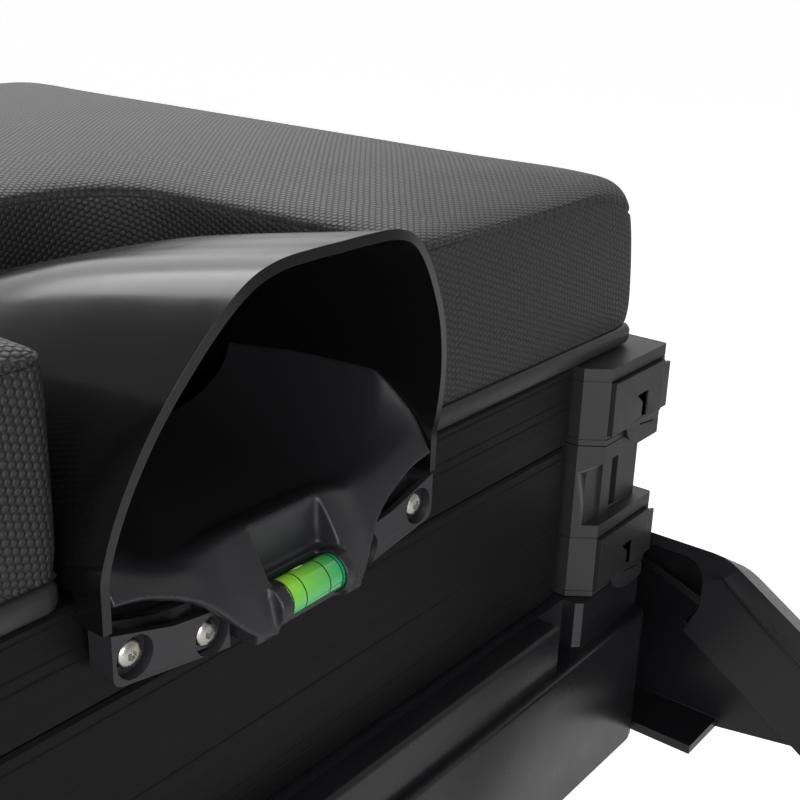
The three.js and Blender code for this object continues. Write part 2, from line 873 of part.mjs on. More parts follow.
// Cup: a trough along the hood whose front rolls down into a nose that holds the level
function snugCup() {
  const rows = cupRows();
  const surface = (u, v) => {
    const [floorY, floorZ, rimY, rimZ, half, slope] = tableAt(rows, v * (rows.length - 1));
    const place = u * 2 - 1;
    const across = Math.abs(place);
    const flat = (half - cup.sideRound) / half;
    const angle = Math.max((across - cup.flatShare) / (1 - cup.flatShare), 0) * quarterTurn;
    const share = angle ? flat + (1 - flat) * Math.sin(angle) : (across / cup.flatShare) * flat;
    const rise = lerp(1 - Math.cos(angle), slopeRise(share), slope);
    return new THREE.Vector3(
      Math.sign(place) * share * half,
      lerp(floorY, rimY, rise),
      lerp(floorZ, rimZ, rise),
    );
  };
  const trough = shelled((u, v) => surface(1 - u, v), cup.acrossSteps, rows.length - 1, -cup.wall);
  const strapFront = bracket.backY - bracket.strapThickness - seatGap;
  const shoulderZ = lerp(cup.floorZ + cup.wall, cup.noseBottomZ, cup.noseShoulderShare);
  const noseOutline = [
    [strapFront, cup.floorZ + cup.wall / 2, 0],
    [cup.noseTopY, cup.floorZ + cup.wall / 2, 0],
    [cup.noseFrontY, shoulderZ, cup.noseRound],
    [cup.noseFrontY, cup.noseBottomZ, cup.noseRound],
    [strapFront, cup.noseBottomZ, 0],
  ];
  const nose = prismX(noseOutline, -cup.noseHalfWidth, cup.noseHalfWidth, { bevel: cup.noseBevel });
  const front = cup.noseFrontY - overrun;
  const recessOutline = [
    [cup.recessTopY, cup.recessTopZ, 0],
    [cup.recessFloorY, vial.z, 0],
    [cup.recessFloorY, cup.recessBottomZ, 0],
    [front, cup.recessBottomZ, 0],
    [front, cup.rimZ, 0],
    [cup.recessTopY, cup.rimZ, 0],
  ];
  const recess = prismX(recessOutline, -cup.recessHalfWidth, cup.recessHalfWidth);
  const inner = cup.recessHalfWidth - cup.cheekWidth;
  const cheekFrontY = vial.y - cup.cheekReach;
  const cheekTopZ = vial.z + cup.cheekRise;
  const cheek = box(
    inner,
    cup.recessHalfWidth + overrun,
    cheekFrontY,
    cup.recessFloorY + overrun,
    cup.recessBottomZ - overrun,
    cheekTopZ,
  );
  const cheeks = cheek.add(cheek.mirror([1, 0, 0]));
  const room = vial.length / 2 + seatGap;
  const seat = rodX(vial.radius + seatGap, -room, room, vial.y, vial.z, vial.sides);
  const holder = trough.add(nose).subtract(recess).add(cheeks).subtract(seat);
  return meshOf("snug_cup", holder, looks.cup);
}
function slopeRise(share) {
  const above = Math.max(cupSlopeShares.findIndex((row) => row[0] >= share), 1);
  const [low, high] = [cupSlopeShares[above - 1], cupSlopeShares[above]];
  return lerp(low[1], high[1], (share - low[0]) / (high[0] - low[0]));
}
// A row of a table at a place between two of its rows
function tableAt(rows, place) {
  const k = Math.min(Math.floor(place), rows.length - 2);
  return rows[k].map((value, i) => lerp(value, rows[k + 1][i], place - k));
}
// Rows of the trough from its rear end to its lower front edge:
// floor y, floor z, rim y, rim z, half width, share of the sloping section
function cupRows() {
  const { floorZ, rimZ, rearRimZ, rearY, rimY, floorFrontY, lipY, lipZ, lipEndY, lipEndZ } = cup;
  const middleY = lerp(rimY, rearY, cup.midShare);
  const rows = [
    [rearY, floorZ, rearY, rearRimZ, 0],
    [middleY, floorZ, middleY, lerp(rimZ, rearRimZ, cup.midShare ** 2), 0],
    [rimY, floorZ, rimY, rimZ, 0],
  ];
  cupFrontShares.forEach(([floorYShare, floorZShare, rimYShare, rimZShare, slope]) => {
    const floor = [lerp(floorFrontY, lipY, floorYShare), lerp(floorZ, lipZ, floorZShare)];
    rows.push([...floor, lerp(rimY, lipEndY, rimYShare), lerp(rimZ, lipEndZ, rimZShare), slope]);
  });
  return rows.map(([floorY, floor, sideY, side, slope]) => {
    const room = hoodHalfWidthAt(sideY, Math.max(side, 0)) - snug.wall - cup.sideClearance;
    return [floorY, floor, sideY, side, Math.min(cup.halfWidth, room), slope];
  });
}
function levelVial() {
  const half = vial.length / 2;
  const profile = [[0, -half], [vial.radius - vial.edge, -half], [vial.radius, vial.edge - half]];
  profile.push([vial.radius, half - vial.edge], [vial.radius - vial.edge, half], [0, half]);
  const mesh = meshOf("level_vial", turnedZ(profile, vial.sides), looks.liquid);
  mesh.position.set(0, vial.y, vial.z);
  mesh.rotation.y = quarterTurn;
  return mesh;
}

// Extruded panel with fine grooves outside and a ledge inside that the tray floor lies on.
// Its own frame: x along the panel, outer face at y = inset from the lip's edge, z from its foot.
function panelSolid(halfLength, height) {
  const outer = panel.inset;
  const inner = panel.inset + panel.thickness;
  const outline = [[inner, 0, 0], [inner, height, 0], [outer, height, 0]];
  const count = Math.floor((height - panel.grooveMargin * 2) / panel.groovePitch) + 1;
  const start = (height + (count - 1) * panel.groovePitch) / 2;
  const step = panel.grooveWidth / 2;
  for (let k = 0; k < count; k++) {
    const z = start - k * panel.groovePitch;
    outline.push([outer, z + step, 0], [outer + panel.grooveDepth, z, 0], [outer, z - step, 0]);
  }
  outline.push([outer, 0, 0]);
  const body = prismX(outline, -halfLength, halfLength);
  const ledgeHalf = halfLength - panel.ledgeInset;
  const ledgeInner = inner + panel.ledgeReach;
  return body.add(box(-ledgeHalf, ledgeHalf, inner - overrun / 2, ledgeInner, 0, panel.ledgeThickness));
}
function modulePanels(prefix, bottomZ, height) {
  const sides = [
    { name: "front", turn: 0, reach: halfDepth, half: halfWidth },
    { name: "right", turn: quarterTurn, reach: halfWidth, half: halfDepth },
    { name: "back", turn: quarterTurn * 2, reach: halfDepth, half: halfWidth },
    { name: "left", turn: -quarterTurn, reach: halfWidth, half: halfDepth },
  ];
  return sides.map(({ name, turn, reach, half }) => {
    let solid = panelSolid(half - post.armLength - panel.endGap, height);
    if (prefix === "upper" && name === "front") {
      const drop = lipTopZ - bottomZ;
      const holes = screwPlaces().map(({ x, z }) => {
        const reachY = panel.inset + panel.thickness + overrun;
        return rodY(screw.holeRadius, panel.inset - overrun, reachY, x, z + drop, screw.holeSides);
      });
      solid = solid.subtract(union(holes));
    }
    const mesh = meshOf(prefix + "_panel_" + name, solid, looks.panel);
    const carrier = new THREE.Group();
    mesh.position.set(0, -reach, bottomZ);
    carrier.rotation.z = turn;
    carrier.add(mesh);
    return carrier;
  });
}
// Floor of a module: a plate on the panels' ledges, with raised ribs across it
function moduleFloor(name, bottomZ) {
  const inset = trayFloor.edgeInset;
  const x = halfWidth - inset;
  const y = halfDepth - inset;
  const z = bottomZ + panel.ledgeThickness + seatGap;
  const top = z + trayFloor.thickness;
  const corner = post.armLength + post.wingLength + trayFloor.cornerGap - inset;
  const plate = prismZ(
    [
      [corner - x, -y, 0],
      [x - corner, -y, 0],
      [x - corner, corner - y, 0],
      [x, corner - y, 0],
      [x, y - corner, 0],
      [x - corner, y - corner, 0],
      [x - corner, y, 0],
      [corner - x, y, 0],
      [corner - x, y - corner, 0],
      [-x, y - corner, 0],
      [-x, corner - y, 0],
      [corner - x, corner - y, 0],
    ],
    z,
    top,
  );
  const count = Math.floor((y * 2) / trayFloor.ribPitch) - 1;
  const reach = x - corner;
  const half = trayFloor.ribWidth / 2;
  const ribs = Array.from({ length: count }, (_, k) => {
    const at = (k - (count - 1) / 2) * trayFloor.ribPitch;
    return box(-reach, reach, at - half, at + half, top - overrun / 2, top + trayFloor.ribHeight);
  });
  return meshOf(name, plate.add(union(ribs)), looks.tray);
}

// L-shaped outline of a post, standing proud of both panels, with wings behind the panels' ends
function postCorners(proud, armLength) {
  const { outerRadius, wingStart, wingEnd, wingLength } = post;
  return [
    [-armLength, wingStart, 0],
    [-armLength, -proud, outerRadius],
    [proud, -proud, outerRadius],
    [proud, armLength, outerRadius],
    [-wingStart, armLength, 0],
    [-wingStart, armLength + wingLength, 0],
    [-wingEnd, armLength + wingLength, 0],
    [-wingEnd, wingEnd, 0],
    [-armLength - wingLength, wingEnd, 0],
    [-armLength - wingLength, wingStart, 0],
  ];
}
// A layer of the post between two heights that grows from one stand-off to another
function postTaper(lowProud, highProud, z0, z1) {
  const ring = (proud, z) => {
    const reach = post.armLength;
    return roundedOutline([
      [-reach, overrun, 0],
      [-reach, -proud, post.outerRadius / 2],
      [proud, -proud, post.outerRadius],
      [proud, reach, post.outerRadius / 2],
      [-overrun, reach, 0],
      [-overrun, overrun, 0],
    ]).map((point) => new THREE.Vector3(point.x, point.y, z));
  };
  return lofted([ring(lowProud, z0), ring(highProud, z1)]);
}
// Post for the corner at +x, -y, whose own origin is the corner of the lip at the module's foot
function postSolid(height) {
  const { blockBaseHeight, collarHeight, collarTaper, proud, slimProud } = post;
  const tall = height > blockBaseHeight + collarHeight + collarTaper * 2;
  const layers = [];
  if (tall) {
    layers.push(prismZ(postCorners(slimProud, post.armLength), 0, height));
    const baseOutline = postCorners(proud, post.armLength);
    layers.push(prismZ(baseOutline, 0, blockBaseHeight));
    layers.push(prismZ(baseOutline, height - collarHeight, height));
    const collarZ = height - collarHeight;
    layers.push(postTaper(slimProud, proud, collarZ - collarTaper, collarZ));
    const ribX = -post.slotStart - post.slotWidth;
    layers.push(
      box(
        ribX - post.ribWidth,
        ribX,
        -slimProud - post.ribProud,
        0,
        blockBaseHeight - overrun,
        height - collarHeight - overrun,
      ),
    );
  } else {
    layers.push(prismZ(postCorners(proud, post.armLength), 0, height));
  }
  const blockTop = Math.min(post.blockLift + post.blockHeight, height - seatGap);
  const block = prismZ(
    [
      [-post.armLength + post.blockInset, overrun - proud, 0],
      [-post.armLength + post.blockInset, -post.blockProud, 0],
      [post.blockEnd, -post.blockProud, post.blockChamfer],
      [post.blockEnd, overrun - proud, 0],
    ],
    post.blockLift,
    blockTop,
  );
  let solid = union([...layers, block]);
  if (tall) {
    const slot = box(
      -post.slotStart - post.slotWidth,
      -post.slotStart,
      -proud - overrun,
      post.slotDepth - slimProud,
      blockBaseHeight + overrun,
      height - collarHeight - collarTaper,
    );
    solid = solid.subtract(slot);
  }
  return solid.subtract(clipPocket());
}
// The space in the block that the clip turns in, with holes for its pins
function clipPocket() {
  const gap = clip.clearance;
  const axisY = clip.knuckleRadius - clip.proud;
  const from = -clip.start - gap;
  const to = clip.end + gap;
  const backY = axisY + clip.knuckleRadius + gap;
  const top = clip.axisLift + clip.knuckleRadius + gap;
  const pocket = box(from, to, -clip.proud - overrun, backY, -overrun, top);
  const pinEnd = clip.pinLength + gap;
  const holeRadius = clip.pinRadius + gap;
  return pocket.add(rodX(holeRadius, from - pinEnd, to + pinEnd, axisY, clip.axisLift, clip.pinSides));
}
// Clip that hangs from its pins and laps over the piece below with its toe
function clipSolid() {
  const axisY = clip.knuckleRadius - clip.proud;
  const outerY = -clip.proud;
  const innerY = outerY + clip.thickness;
  const profile = [
    [innerY, clip.lift, 0],
    [innerY, clip.axisLift, 0],
    [axisY, clip.axisLift + clip.knuckleRadius, 0],
    [outerY, clip.axisLift + clip.knuckleRadius, clip.knuckleRadius * clip.roundShare],
    [outerY, clip.lift + clip.lipHeight, 0],
    [outerY - clip.lipProud, clip.lift + clip.lipHeight / 2, 0],
    [outerY - clip.lipProud, clip.lift, 0],
  ];
  const plate = prismX(profile, -clip.start, clip.end);
  const knuckle = rodX(clip.knuckleRadius, -clip.start, clip.end, axisY, clip.axisLift, clip.knuckleSides);
  const toeEnd = clip.end - clip.cornerCut;
  const corner = prismY(
    [
      [clip.end + overrun, clip.lift - overrun, 0],
      [clip.end + overrun, clip.lift + clip.cornerCut + overrun, 0],
      [toeEnd - overrun, clip.lift - overrun, 0],
    ],
    outerY - clip.thickness,
    outerY + clip.thickness + clip.knuckleRadius,
  );
  const toe = box(
    toeEnd - clip.toeWidth,
    toeEnd,
    outerY,
    outerY + clip.toeThickness,
    -clip.toeDrop,
    clip.lift + overrun,
  );
  const pins = rodX(
    clip.pinRadius,
    -clip.start - clip.pinLength,
    clip.end + clip.pinLength,
    axisY,
    clip.axisLift,
    clip.pinSides,
  );
  const holeMiddle = clip.holeX;
  const hole = box(
    holeMiddle - clip.holeWidth / 2,
    holeMiddle + clip.holeWidth / 2,
    outerY - overrun,
    outerY + clip.holeDepth,
    clip.holeZ,
    clip.holeZ + clip.holeHeight,
  );
  return union([plate.subtract(corner), knuckle, toe, pins]).subtract(hole);
}
// The four corners of the box, each a mirror image of the one at +x, -y
function atCorners(prefix, solid, material, bottomZ) {
  const corners = [
    { name: "front_right", x: 1, y: 1 },
    { name: "front_left", x: -1, y: 1 },
    { name: "back_right", x: 1, y: -1 },
    { name: "back_left", x: -1, y: -1 },
  ];
  return corners.map(({ name, x, y }) => {
    const mesh = meshOf(prefix + "_" + name, solid, material);
    const carrier = new THREE.Group();
    carrier.position.set(x * halfWidth, -y * halfDepth, bottomZ);
    carrier.scale.set(x, y, 1);
    carrier.add(mesh);
    return carrier;
  });
}
function moduleOf(prefix, bottomZ, height) {
  const module = new THREE.Group();
  module.add(
    ...modulePanels(prefix, bottomZ, height),
    moduleFloor(prefix + "_floor", bottomZ),
    ...atCorners(prefix + "_post", postSolid(height), looks.post, bottomZ),
    ...atCorners(prefix + "_clip", clipSolid(), looks.post, bottomZ),
  );
  return module;
}

// Butt hinges between the rear panel and the rear edge of the seat base
function lidHinges() {
  const y = hingeAxisY();
  const z = hingeAxisZ();
  const half = hinge.length / 2;
  const middle = (hinge.length * hinge.middleShare) / 2;
  const pinHole = rodX(
    hinge.pinRadius + hinge.pinClearance,
    -half - overrun,
    half + overrun,
    y,
    z,
    hinge.sides,
  );
  const knuckle = (x0, x1) => rodX(hinge.knuckleRadius, x0, x1, y, z, hinge.sides);
  const clearance = hinge.knuckleRadius + hinge.knuckleGap;
  const reliefEnd = middle + hinge.knuckleGap;
  const reliefMiddle = rodX(clearance, -reliefEnd, reliefEnd, y, z, hinge.sides);
  const upperFace = halfDepth + seatGap;
  const leafTopZ = lipTopZ - base.edgeRadius / 2;
  const upperPlate = box(-half, half, upperFace, upperFace + hinge.leafThickness, z, leafTopZ);
  const upper = union([
    upperPlate,
    knuckle(-half, -middle - hinge.knuckleGap),
    knuckle(middle + hinge.knuckleGap, half),
  ]).subtract(union([pinHole, reliefMiddle]));
  const panelFace = halfDepth - panel.inset + seatGap;
  const lowerPlate = box(
    -half,
    half,
    panelFace,
    panelFace + hinge.leafThickness,
    z - hinge.lowerLeafHeight,
    baseBottomZ - stackGap,
  );
  const ends = [-1, 1].map((side) => {
    const [x0, x1] = [side * (middle - hinge.knuckleGap), side * (half + overrun)].sort((a, b) => a - b);
    return rodX(clearance, x0, x1, y, z, hinge.sides);
  });
  const lower = lowerPlate.subtract(union(ends)).add(knuckle(-middle, middle)).subtract(pinHole);
  const pin = rodX(hinge.pinRadius, -half, half, y, z, hinge.sides);
  const pieces = new THREE.Group();
  [["left", -1], ["right", 1]].forEach(([name, side]) => {
    const place = new THREE.Group();
    place.position.x = side * hinge.offsetX;
    place.add(
      meshOf("lid_hinge_upper_" + name, upper, looks.steel),
      meshOf("lid_hinge_lower_" + name, lower, looks.steel),
      meshOf("lid_hinge_pin_" + name, pin, looks.steel),
    );
    pieces.add(place);
  });
  return pieces;
}
function hingeAxisY() {
  return halfDepth + hinge.knuckleRadius + seatGap;
}
function hingeAxisZ() {
  return baseBottomZ - stackGap / 2;
}

// Chassis frame: walls round a deck, proud ledges front and rear, a boss under each post and a lower step
function chassisFrame() {
  const depth = halfDepth + frame.proud - frame.slotDepth;
  const outerWall = [
    [-halfWidth, -depth, 0],
    [halfWidth, -depth, 0],
    [halfWidth, depth, 0],
    [-halfWidth, depth, 0],
  ];
  const stepX = halfWidth + frame.stepSideProud;
  const stepY = halfDepth + frame.stepProud;
  const stepOutline = [
    [-stepX, -stepY, frame.stepRadius],
    [stepX, -stepY, frame.stepRadius],
    [stepX, stepY, frame.stepRadius],
    [-stepX, stepY, frame.stepRadius],
  ];
  const stepTopZ = frameTopZ - frame.stepDrop;
  const step = prismZ(stepOutline, frameBottomZ, stepTopZ, { bevel: frame.stepBevel });
  const ledgeOuter = halfDepth + frame.proud;
  const ledge = [
    [-ledgeOuter, stepTopZ - overrun, 0],
    [-ledgeOuter, frameTopZ, frame.edgeRadius],
    [overrun - depth, frameTopZ, 0],
    [overrun - depth, stepTopZ - overrun, 0],
  ];
  const front = prismX(ledge, -frame.ledgeHalfWidth, frame.ledgeHalfWidth);
  const bossOutline = [
    [-post.armLength, overrun, 0],
    [-post.armLength, -frame.bossProud, frame.bossChamfer],
    [frame.bossSideProud, -frame.bossProud, frame.bossRadius],
    [frame.bossSideProud, post.armLength, frame.bossChamfer],
    [-overrun, post.armLength, 0],
    [-overrun, overrun, 0],
  ];
  const boss = prismZ(bossOutline, frameTopZ - frame.bossHeight - overrun * 2, frameTopZ);
  const corner = boss.translate([halfWidth, -halfDepth, 0]);
  const frontHalf = union([front, corner, corner.mirror([1, 0, 0])]);
  const body = prismZ(outerWall, stepTopZ - overrun, frameTopZ);
  const walls = union([body, step, frontHalf, frontHalf.mirror([0, 1, 0])]);
  const x = halfWidth - frame.sideWall;
  const y = depth - frame.endWall;
  const deckTopZ = frameTopZ - frame.deckDepth;
  const deckBottomZ = deckTopZ - frame.deckThickness;
  const well = box(-x, x, -y, y, deckTopZ, frameTopZ + overrun);
  const hollow = box(-x, x, -y, y, frameBottomZ - overrun, deckBottomZ);
  const ribs = frame.ribShares.map((share) => {
    const at = lerp(-x, x, share);
    const half = frame.ribThickness / 2;
    const bottom = deckBottomZ - frame.ribHeight;
    return box(at - half, at + half, -y - overrun, y + overrun, bottom, deckBottomZ + overrun);
  });
  return meshOf("chassis_frame", walls.subtract(well).subtract(hollow).add(union(ribs)), looks.frame);
}

// Side moulding: an outer skin and a rail with a falling shoulder, whose ends slope down to leg sockets
function sideHull(name, side) {
  const topZ = frameTopZ + hull.topRise;
  const bend = halfDepth + hull.bendY;
  const end = legY();
  const fall = (end - bend) * hull.slope;
  const lowY = halfDepth + hull.openingLowY;
  const lowZ = topZ - hull.barHeight;
  const lowFall = (end - lowY) * hull.slope;
  const { innerX, outerX, flange, bendRadius, openingRadius } = hull;
  const skinX = outerX - hull.skin;
  const bothEnds = (half) => [...half.map(([y, ...rest]) => [-y, ...rest]), ...half.slice().reverse()];
  const skirtEndZ = socketTopZ() - leg.socketHeight + hull.skirtRise;
  const skin = [
    [halfDepth + hull.skirtY, frameBottomZ, 0, 0],
    [end, skirtEndZ, 0, 0],
    [end, topZ - fall, 0, 1],
    [bend, topZ, bendRadius, 1],
  ];
  const rail = [
    [bend - flange * hull.slope * hull.mitreShare, topZ - flange, bendRadius - flange, 1],
    [end, topZ - fall - flange, 0, 1],
    [end, topZ - fall, 0, 1],
    [bend, topZ, bendRadius, 1],
  ];
  const footX = halfWidth + frame.stepSideProud + seatGap;
  const reach = halfDepth + hull.skirtY;
  const pieces = [
    shoulderedX(bothEnds(skin), skinX, outerX),
    shoulderedX(bothEnds(rail), innerX, outerX - overrun),
    box(footX, outerX - overrun, -reach, reach, frameBottomZ, frameBottomZ + hull.skin),
  ];
  const openY = halfDepth + hull.openingY;
  const ribTopZ = topZ - hull.ribDrop;
  const ribEndZ = ribTopZ - hull.openingY * hull.ribSlope;
  const cheek = [
    [halfDepth + hull.openingBackY, topZ, 0, 1],
    [halfDepth + hull.openingBackY, topZ - flange, 0, 1],
    [openY, topZ - flange, openingRadius, 1],
    [openY, lowZ + hull.openingRise, openingRadius, 0],
    [lowY, lowZ, 0, 0],
    [end, lowZ - lowFall, 0, 0],
    [end, topZ - fall, 0, 1],
    [bend, topZ, bendRadius, 1],
  ];
  const under = [
    [lowY, lowZ, 0, 0],
    [end, lowZ - lowFall, 0, 0],
    [end, lowZ - lowFall + hull.skin, 0, 0],
    [lowY, lowZ + hull.skin, 0, 0],
  ];
  const rib = [
    [halfDepth, ribTopZ, 0, 1],
    [openY, ribEndZ, 0, 1],
    [openY, ribEndZ - hull.ribThickness, 0, 1],
    [halfDepth, ribTopZ - hull.ribThickness, 0, 1],
  ];
  const beadStartZ = topZ - hull.beadDrop;
  const beadFall = (end - leg.radius - bend) * hull.beadSlope;
  const bead = [
    [bend, beadStartZ, 0, 0],
    [end - leg.radius, beadStartZ - beadFall, 0, 0],
    [end - leg.radius, beadStartZ - beadFall - hull.beadWidth, 0, 0],
    [bend, beadStartZ - hull.beadWidth, 0, 0],
  ];
  [-1, 1].forEach((way) => {
    const turned = (corners) => corners.map(([y, ...rest]) => [way * y, ...rest]);
    const socket = rodZ(
      leg.radius + leg.socketWall,
      socketTopZ() - leg.socketHeight,
      socketTopZ(),
      leg.x,
      way * end,
      leg.sides,
    );
    pieces.push(
      shoulderedX(turned(cheek), innerX, innerX + hull.innerPlate),
      shoulderedX(turned(under), innerX + overrun, outerX - overrun),
      shoulderedX(turned(rib), skinX - hull.ribDepth, outerX - overrun),
      shoulderedX(turned(bead), innerX - hull.beadProud, innerX + overrun),
      socket,
    );
  });
  const bores = [-1, 1].map((way) => {
    const y = way * end;
    const radius = leg.radius + leg.clearance;
    const stud = rodX(knob.studRadius + leg.clearance, leg.x, outerX * 2, y, knobZ(), leg.boltSides);
    return rodZ(radius, skirtEndZ - leg.socketHeight, topZ, leg.x, y, leg.sides).add(stud);
  });
  const carrier = new THREE.Group();
  carrier.scale.x = side;
  carrier.add(meshOf(name, union(pieces).subtract(union(bores)), looks.frame));
  return carrier;
}
// An outline of [y, z, radius, share] between two x planes whose corners sink outward by their share
function shoulderedX(corners, x0, x1) {
  const rings = [x0, x1].map((x) => {
    const sunk = corners.map(([y, z, radius, share]) => {
      return [y, z - (x - hull.innerX) * hull.shoulderSlope * share, radius];
    });
    return roundedOutline(sunk).map((point) => new THREE.Vector3(x, point.x, point.y));
  });
  return lofted(rings);
}
function legY() {
  return halfDepth + leg.y;
}
function socketTopZ() {
  return frameTopZ - leg.socketTopDrop;
}
function knobZ() {
  return socketTopZ() - leg.socketHeight / 2;
}
function legTube() {
  const top = socketTopZ() + leg.topRise;
  const { radius, boreRadius, bottomZ, boreDepth, capRadius, sides } = leg;
  return turnedZ(
    [
      [0, bottomZ + boreDepth],
      [boreRadius, bottomZ + boreDepth],
      [boreRadius, bottomZ],
      [radius, bottomZ],
      [radius, top - capRadius],
      [radius - capRadius, top],
      [0, top],
    ],
    sides,
  );
}
function footDisc() {
  const { radius, thickness, edge, neckRadius, ballRadius, ballZ, sides } = foot;
  const profile = [
    [0, 0],
    [radius - edge, 0],
    [radius, edge],
    [radius, thickness - edge],
    [radius - edge, thickness],
    [neckRadius * 2, thickness + edge],
    [neckRadius, thickness + edge * 2],
  ];
  const start = Math.asin(neckRadius / ballRadius);
  for (let k = 0; k <= foot.ballSteps; k++) {
    const angle = lerp(start, Math.PI, k / foot.ballSteps);
    const r = k === foot.ballSteps ? 0 : ballRadius * Math.sin(angle);
    profile.push([r, ballZ - ballRadius * Math.cos(angle)]);
  }
  return turnedZ(profile, sides);
}
// Lobed clamp knob on a stud through the socket's outer wall
function clampKnob() {
  const outline = new THREE.Shape();
  for (let k = 0; k < knob.points; k++) {
    const angle = (Math.PI * 2 * k) / knob.points;
    const r = knob.radius - (knob.lobeDepth * (1 + Math.cos(angle * knob.lobes))) / 2;
    const [a, b] = [r * Math.cos(angle), r * Math.sin(angle)];
    if (k) outline.lineTo(a, b);
    else outline.moveTo(a, b);
  }
  const start = leg.x + leg.radius + leg.socketWall + knob.gripGap;
  const grip = extruded(outline, knob.length, knob.chamfer).rotateY(quarterTurn).translate(start, 0, 0);
  const studFrom = leg.x + leg.radius + leg.clearance + seatGap;
  return solidOf(grip).add(rodX(knob.studRadius, studFrom, start + overrun, 0, 0, leg.boltSides));
}
function legs() {
  const group = new THREE.Group();
  const tube = legTube();
  const disc = footDisc();
  const handle = clampKnob();
  const corners = [
    ["front_right", 1, -1],
    ["front_left", -1, -1],
    ["back_right", 1, 1],
    ["back_left", -1, 1],
  ];
  corners.forEach(([name, x, y]) => {
    const place = new THREE.Group();
    place.position.set(x * leg.x, y * legY(), 0);
    place.add(meshOf("leg_" + name, tube, looks.leg), meshOf("foot_" + name, disc, looks.frame));
    const side = new THREE.Group();
    side.scale.x = x;
    const grip = meshOf("leg_knob_" + name, handle, looks.knob);
    grip.position.set(0, y * legY(), knobZ());
    side.add(grip);
    group.add(place, side);
  });
  return group;
}

// The whole box
const snugGroup = new THREE.Group();
snugGroup.position.set(0, -halfDepth, lipTopZ);
snugGroup.add(snugHood(), snugBracket(), snugCup(), levelVial(), ...snugScrews());

const seatBox = new THREE.Group();
seatBox.add(
  seatCushion(),
  seatBase(),
  snugGroup,
  lidHinges(),
  moduleOf("upper", upperBottomZ, upperModuleHeight),
  moduleOf("lower", lowerBottomZ, lowerModuleHeight),
  chassisFrame(),
  sideHull("side_hull_right", 1),
  sideHull("side_hull_left", -1),
  legs(),
);

export default seatBox;
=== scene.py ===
# Fishing seat box: embossed cushion on a hinged lid, a moulded pole snug with a level, two clipped tray
# modules and a chassis with side mouldings on telescopic legs. Metres, +Z up, the snug faces -Y.
import math

import bmesh
import bpy
import numpy as np
from mathutils import Matrix, Vector, kdtree


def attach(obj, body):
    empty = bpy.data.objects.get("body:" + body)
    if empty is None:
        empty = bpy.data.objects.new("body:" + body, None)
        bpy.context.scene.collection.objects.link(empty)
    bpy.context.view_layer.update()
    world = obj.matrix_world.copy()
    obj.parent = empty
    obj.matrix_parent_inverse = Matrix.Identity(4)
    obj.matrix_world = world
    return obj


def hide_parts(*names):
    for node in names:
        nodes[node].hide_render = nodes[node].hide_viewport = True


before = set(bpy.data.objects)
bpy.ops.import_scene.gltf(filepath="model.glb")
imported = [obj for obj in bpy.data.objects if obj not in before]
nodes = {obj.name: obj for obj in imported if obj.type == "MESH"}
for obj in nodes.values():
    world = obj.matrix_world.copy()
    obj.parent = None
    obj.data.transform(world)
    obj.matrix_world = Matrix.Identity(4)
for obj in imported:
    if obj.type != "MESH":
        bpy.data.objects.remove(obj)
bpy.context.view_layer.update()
scene = bpy.context.scene
print("frame loaded:", len(nodes), "nodes")

mm = 0.001
seat = {"halfWidth": 0.2, "halfDepth": 0.18, "lipTop": 0.3948}
cornerSides = {"front_right": (1, -1), "front_left": (-1, -1), "back_right": (1, 1), "back_left": (-1, 1)}
turnX = Matrix.Rotation(math.radians(90), 4, "Y")  # lays an upright piece along x


# Helpers for colours, nodes and meshes
def toLinear(code):
    channels = [int(code[i:i + 2], 16) / 255 for i in (1, 3, 5)]
    return [c / 12.92 if c <= 0.04045 else ((c + 0.055) / 1.055) ** 2.4 for c in channels] + [1]


def addNode(tree, kind, settings=None, inputs=None):
    node = tree.nodes.new(kind)
    for name, value in (settings or {}).items():
        setattr(node, name, value)
    for key, value in (inputs or {}).items():
        if isinstance(value, bpy.types.NodeSocket):
            tree.links.new(value, node.inputs[key])
        else:
            node.inputs[key].default_value = value
    return node


def newMaterial(name, settings):
    material = bpy.data.materials.new(name)
    material.use_nodes = True
    tree = material.node_tree
    shader = tree.nodes["Principled BSDF"]
    for key, value in settings.items():
        shader.inputs[key].default_value = value
    return material, tree, shader


def newObject(name, bm):
    mesh = bpy.data.meshes.new(name)
    bm.to_mesh(mesh)
    bm.free()
    piece = bpy.data.objects.new(name, mesh)
    scene.collection.objects.link(piece)
    return piece


def bakeModifiers(piece):  # the mesh as its modifiers leave it
    graph = bpy.context.evaluated_depsgraph_get()
    graph.update()
    baked = bpy.data.meshes.new_from_object(piece.evaluated_get(graph), depsgraph=graph)
    piece.modifiers.clear()
    piece.data = baked


def mappedGrid(bm, countU, countV, place):  # a grid whose points are moved to place(i, j)
    made = bmesh.ops.create_grid(bm, x_segments=countU, y_segments=countV, size=1)
    for vert in made["verts"]:
        i = round((vert.co.x + 1) / 2 * countU)
        j = round((vert.co.y + 1) / 2 * countV)
        vert.co = place(i, j)
    return made["verts"]


def newVerts(made):
    return [g for g in made["geom"] if isinstance(g, bmesh.types.BMVert)]


def faceUp(bm, sample):  # normals that agree, with the sample face looking up
    bmesh.ops.recalc_face_normals(bm, faces=bm.faces)
    if sample.normal.z < 0:
        bmesh.ops.reverse_faces(bm, faces=bm.faces)


def extruded(name, outline, way):  # a closed outline drawn along a vector
    bm = bmesh.new()
    face = bm.faces.new([bm.verts.new(point) for point in outline])
    made = bmesh.ops.extrude_face_region(bm, geom=[face])
    bmesh.ops.translate(bm, verts=newVerts(made), vec=way)
    bmesh.ops.recalc_face_normals(bm, faces=bm.faces)
    return newObject(name, bm)


def rod(name, radius, length, place, segments):  # millimetres, with its middle at the place
    bm = bmesh.new()
    bmesh.ops.create_cone(bm, cap_ends=True, segments=segments, radius1=radius * mm, radius2=radius * mm,
                          depth=length * mm, matrix=place)
    return newObject(name, bm)


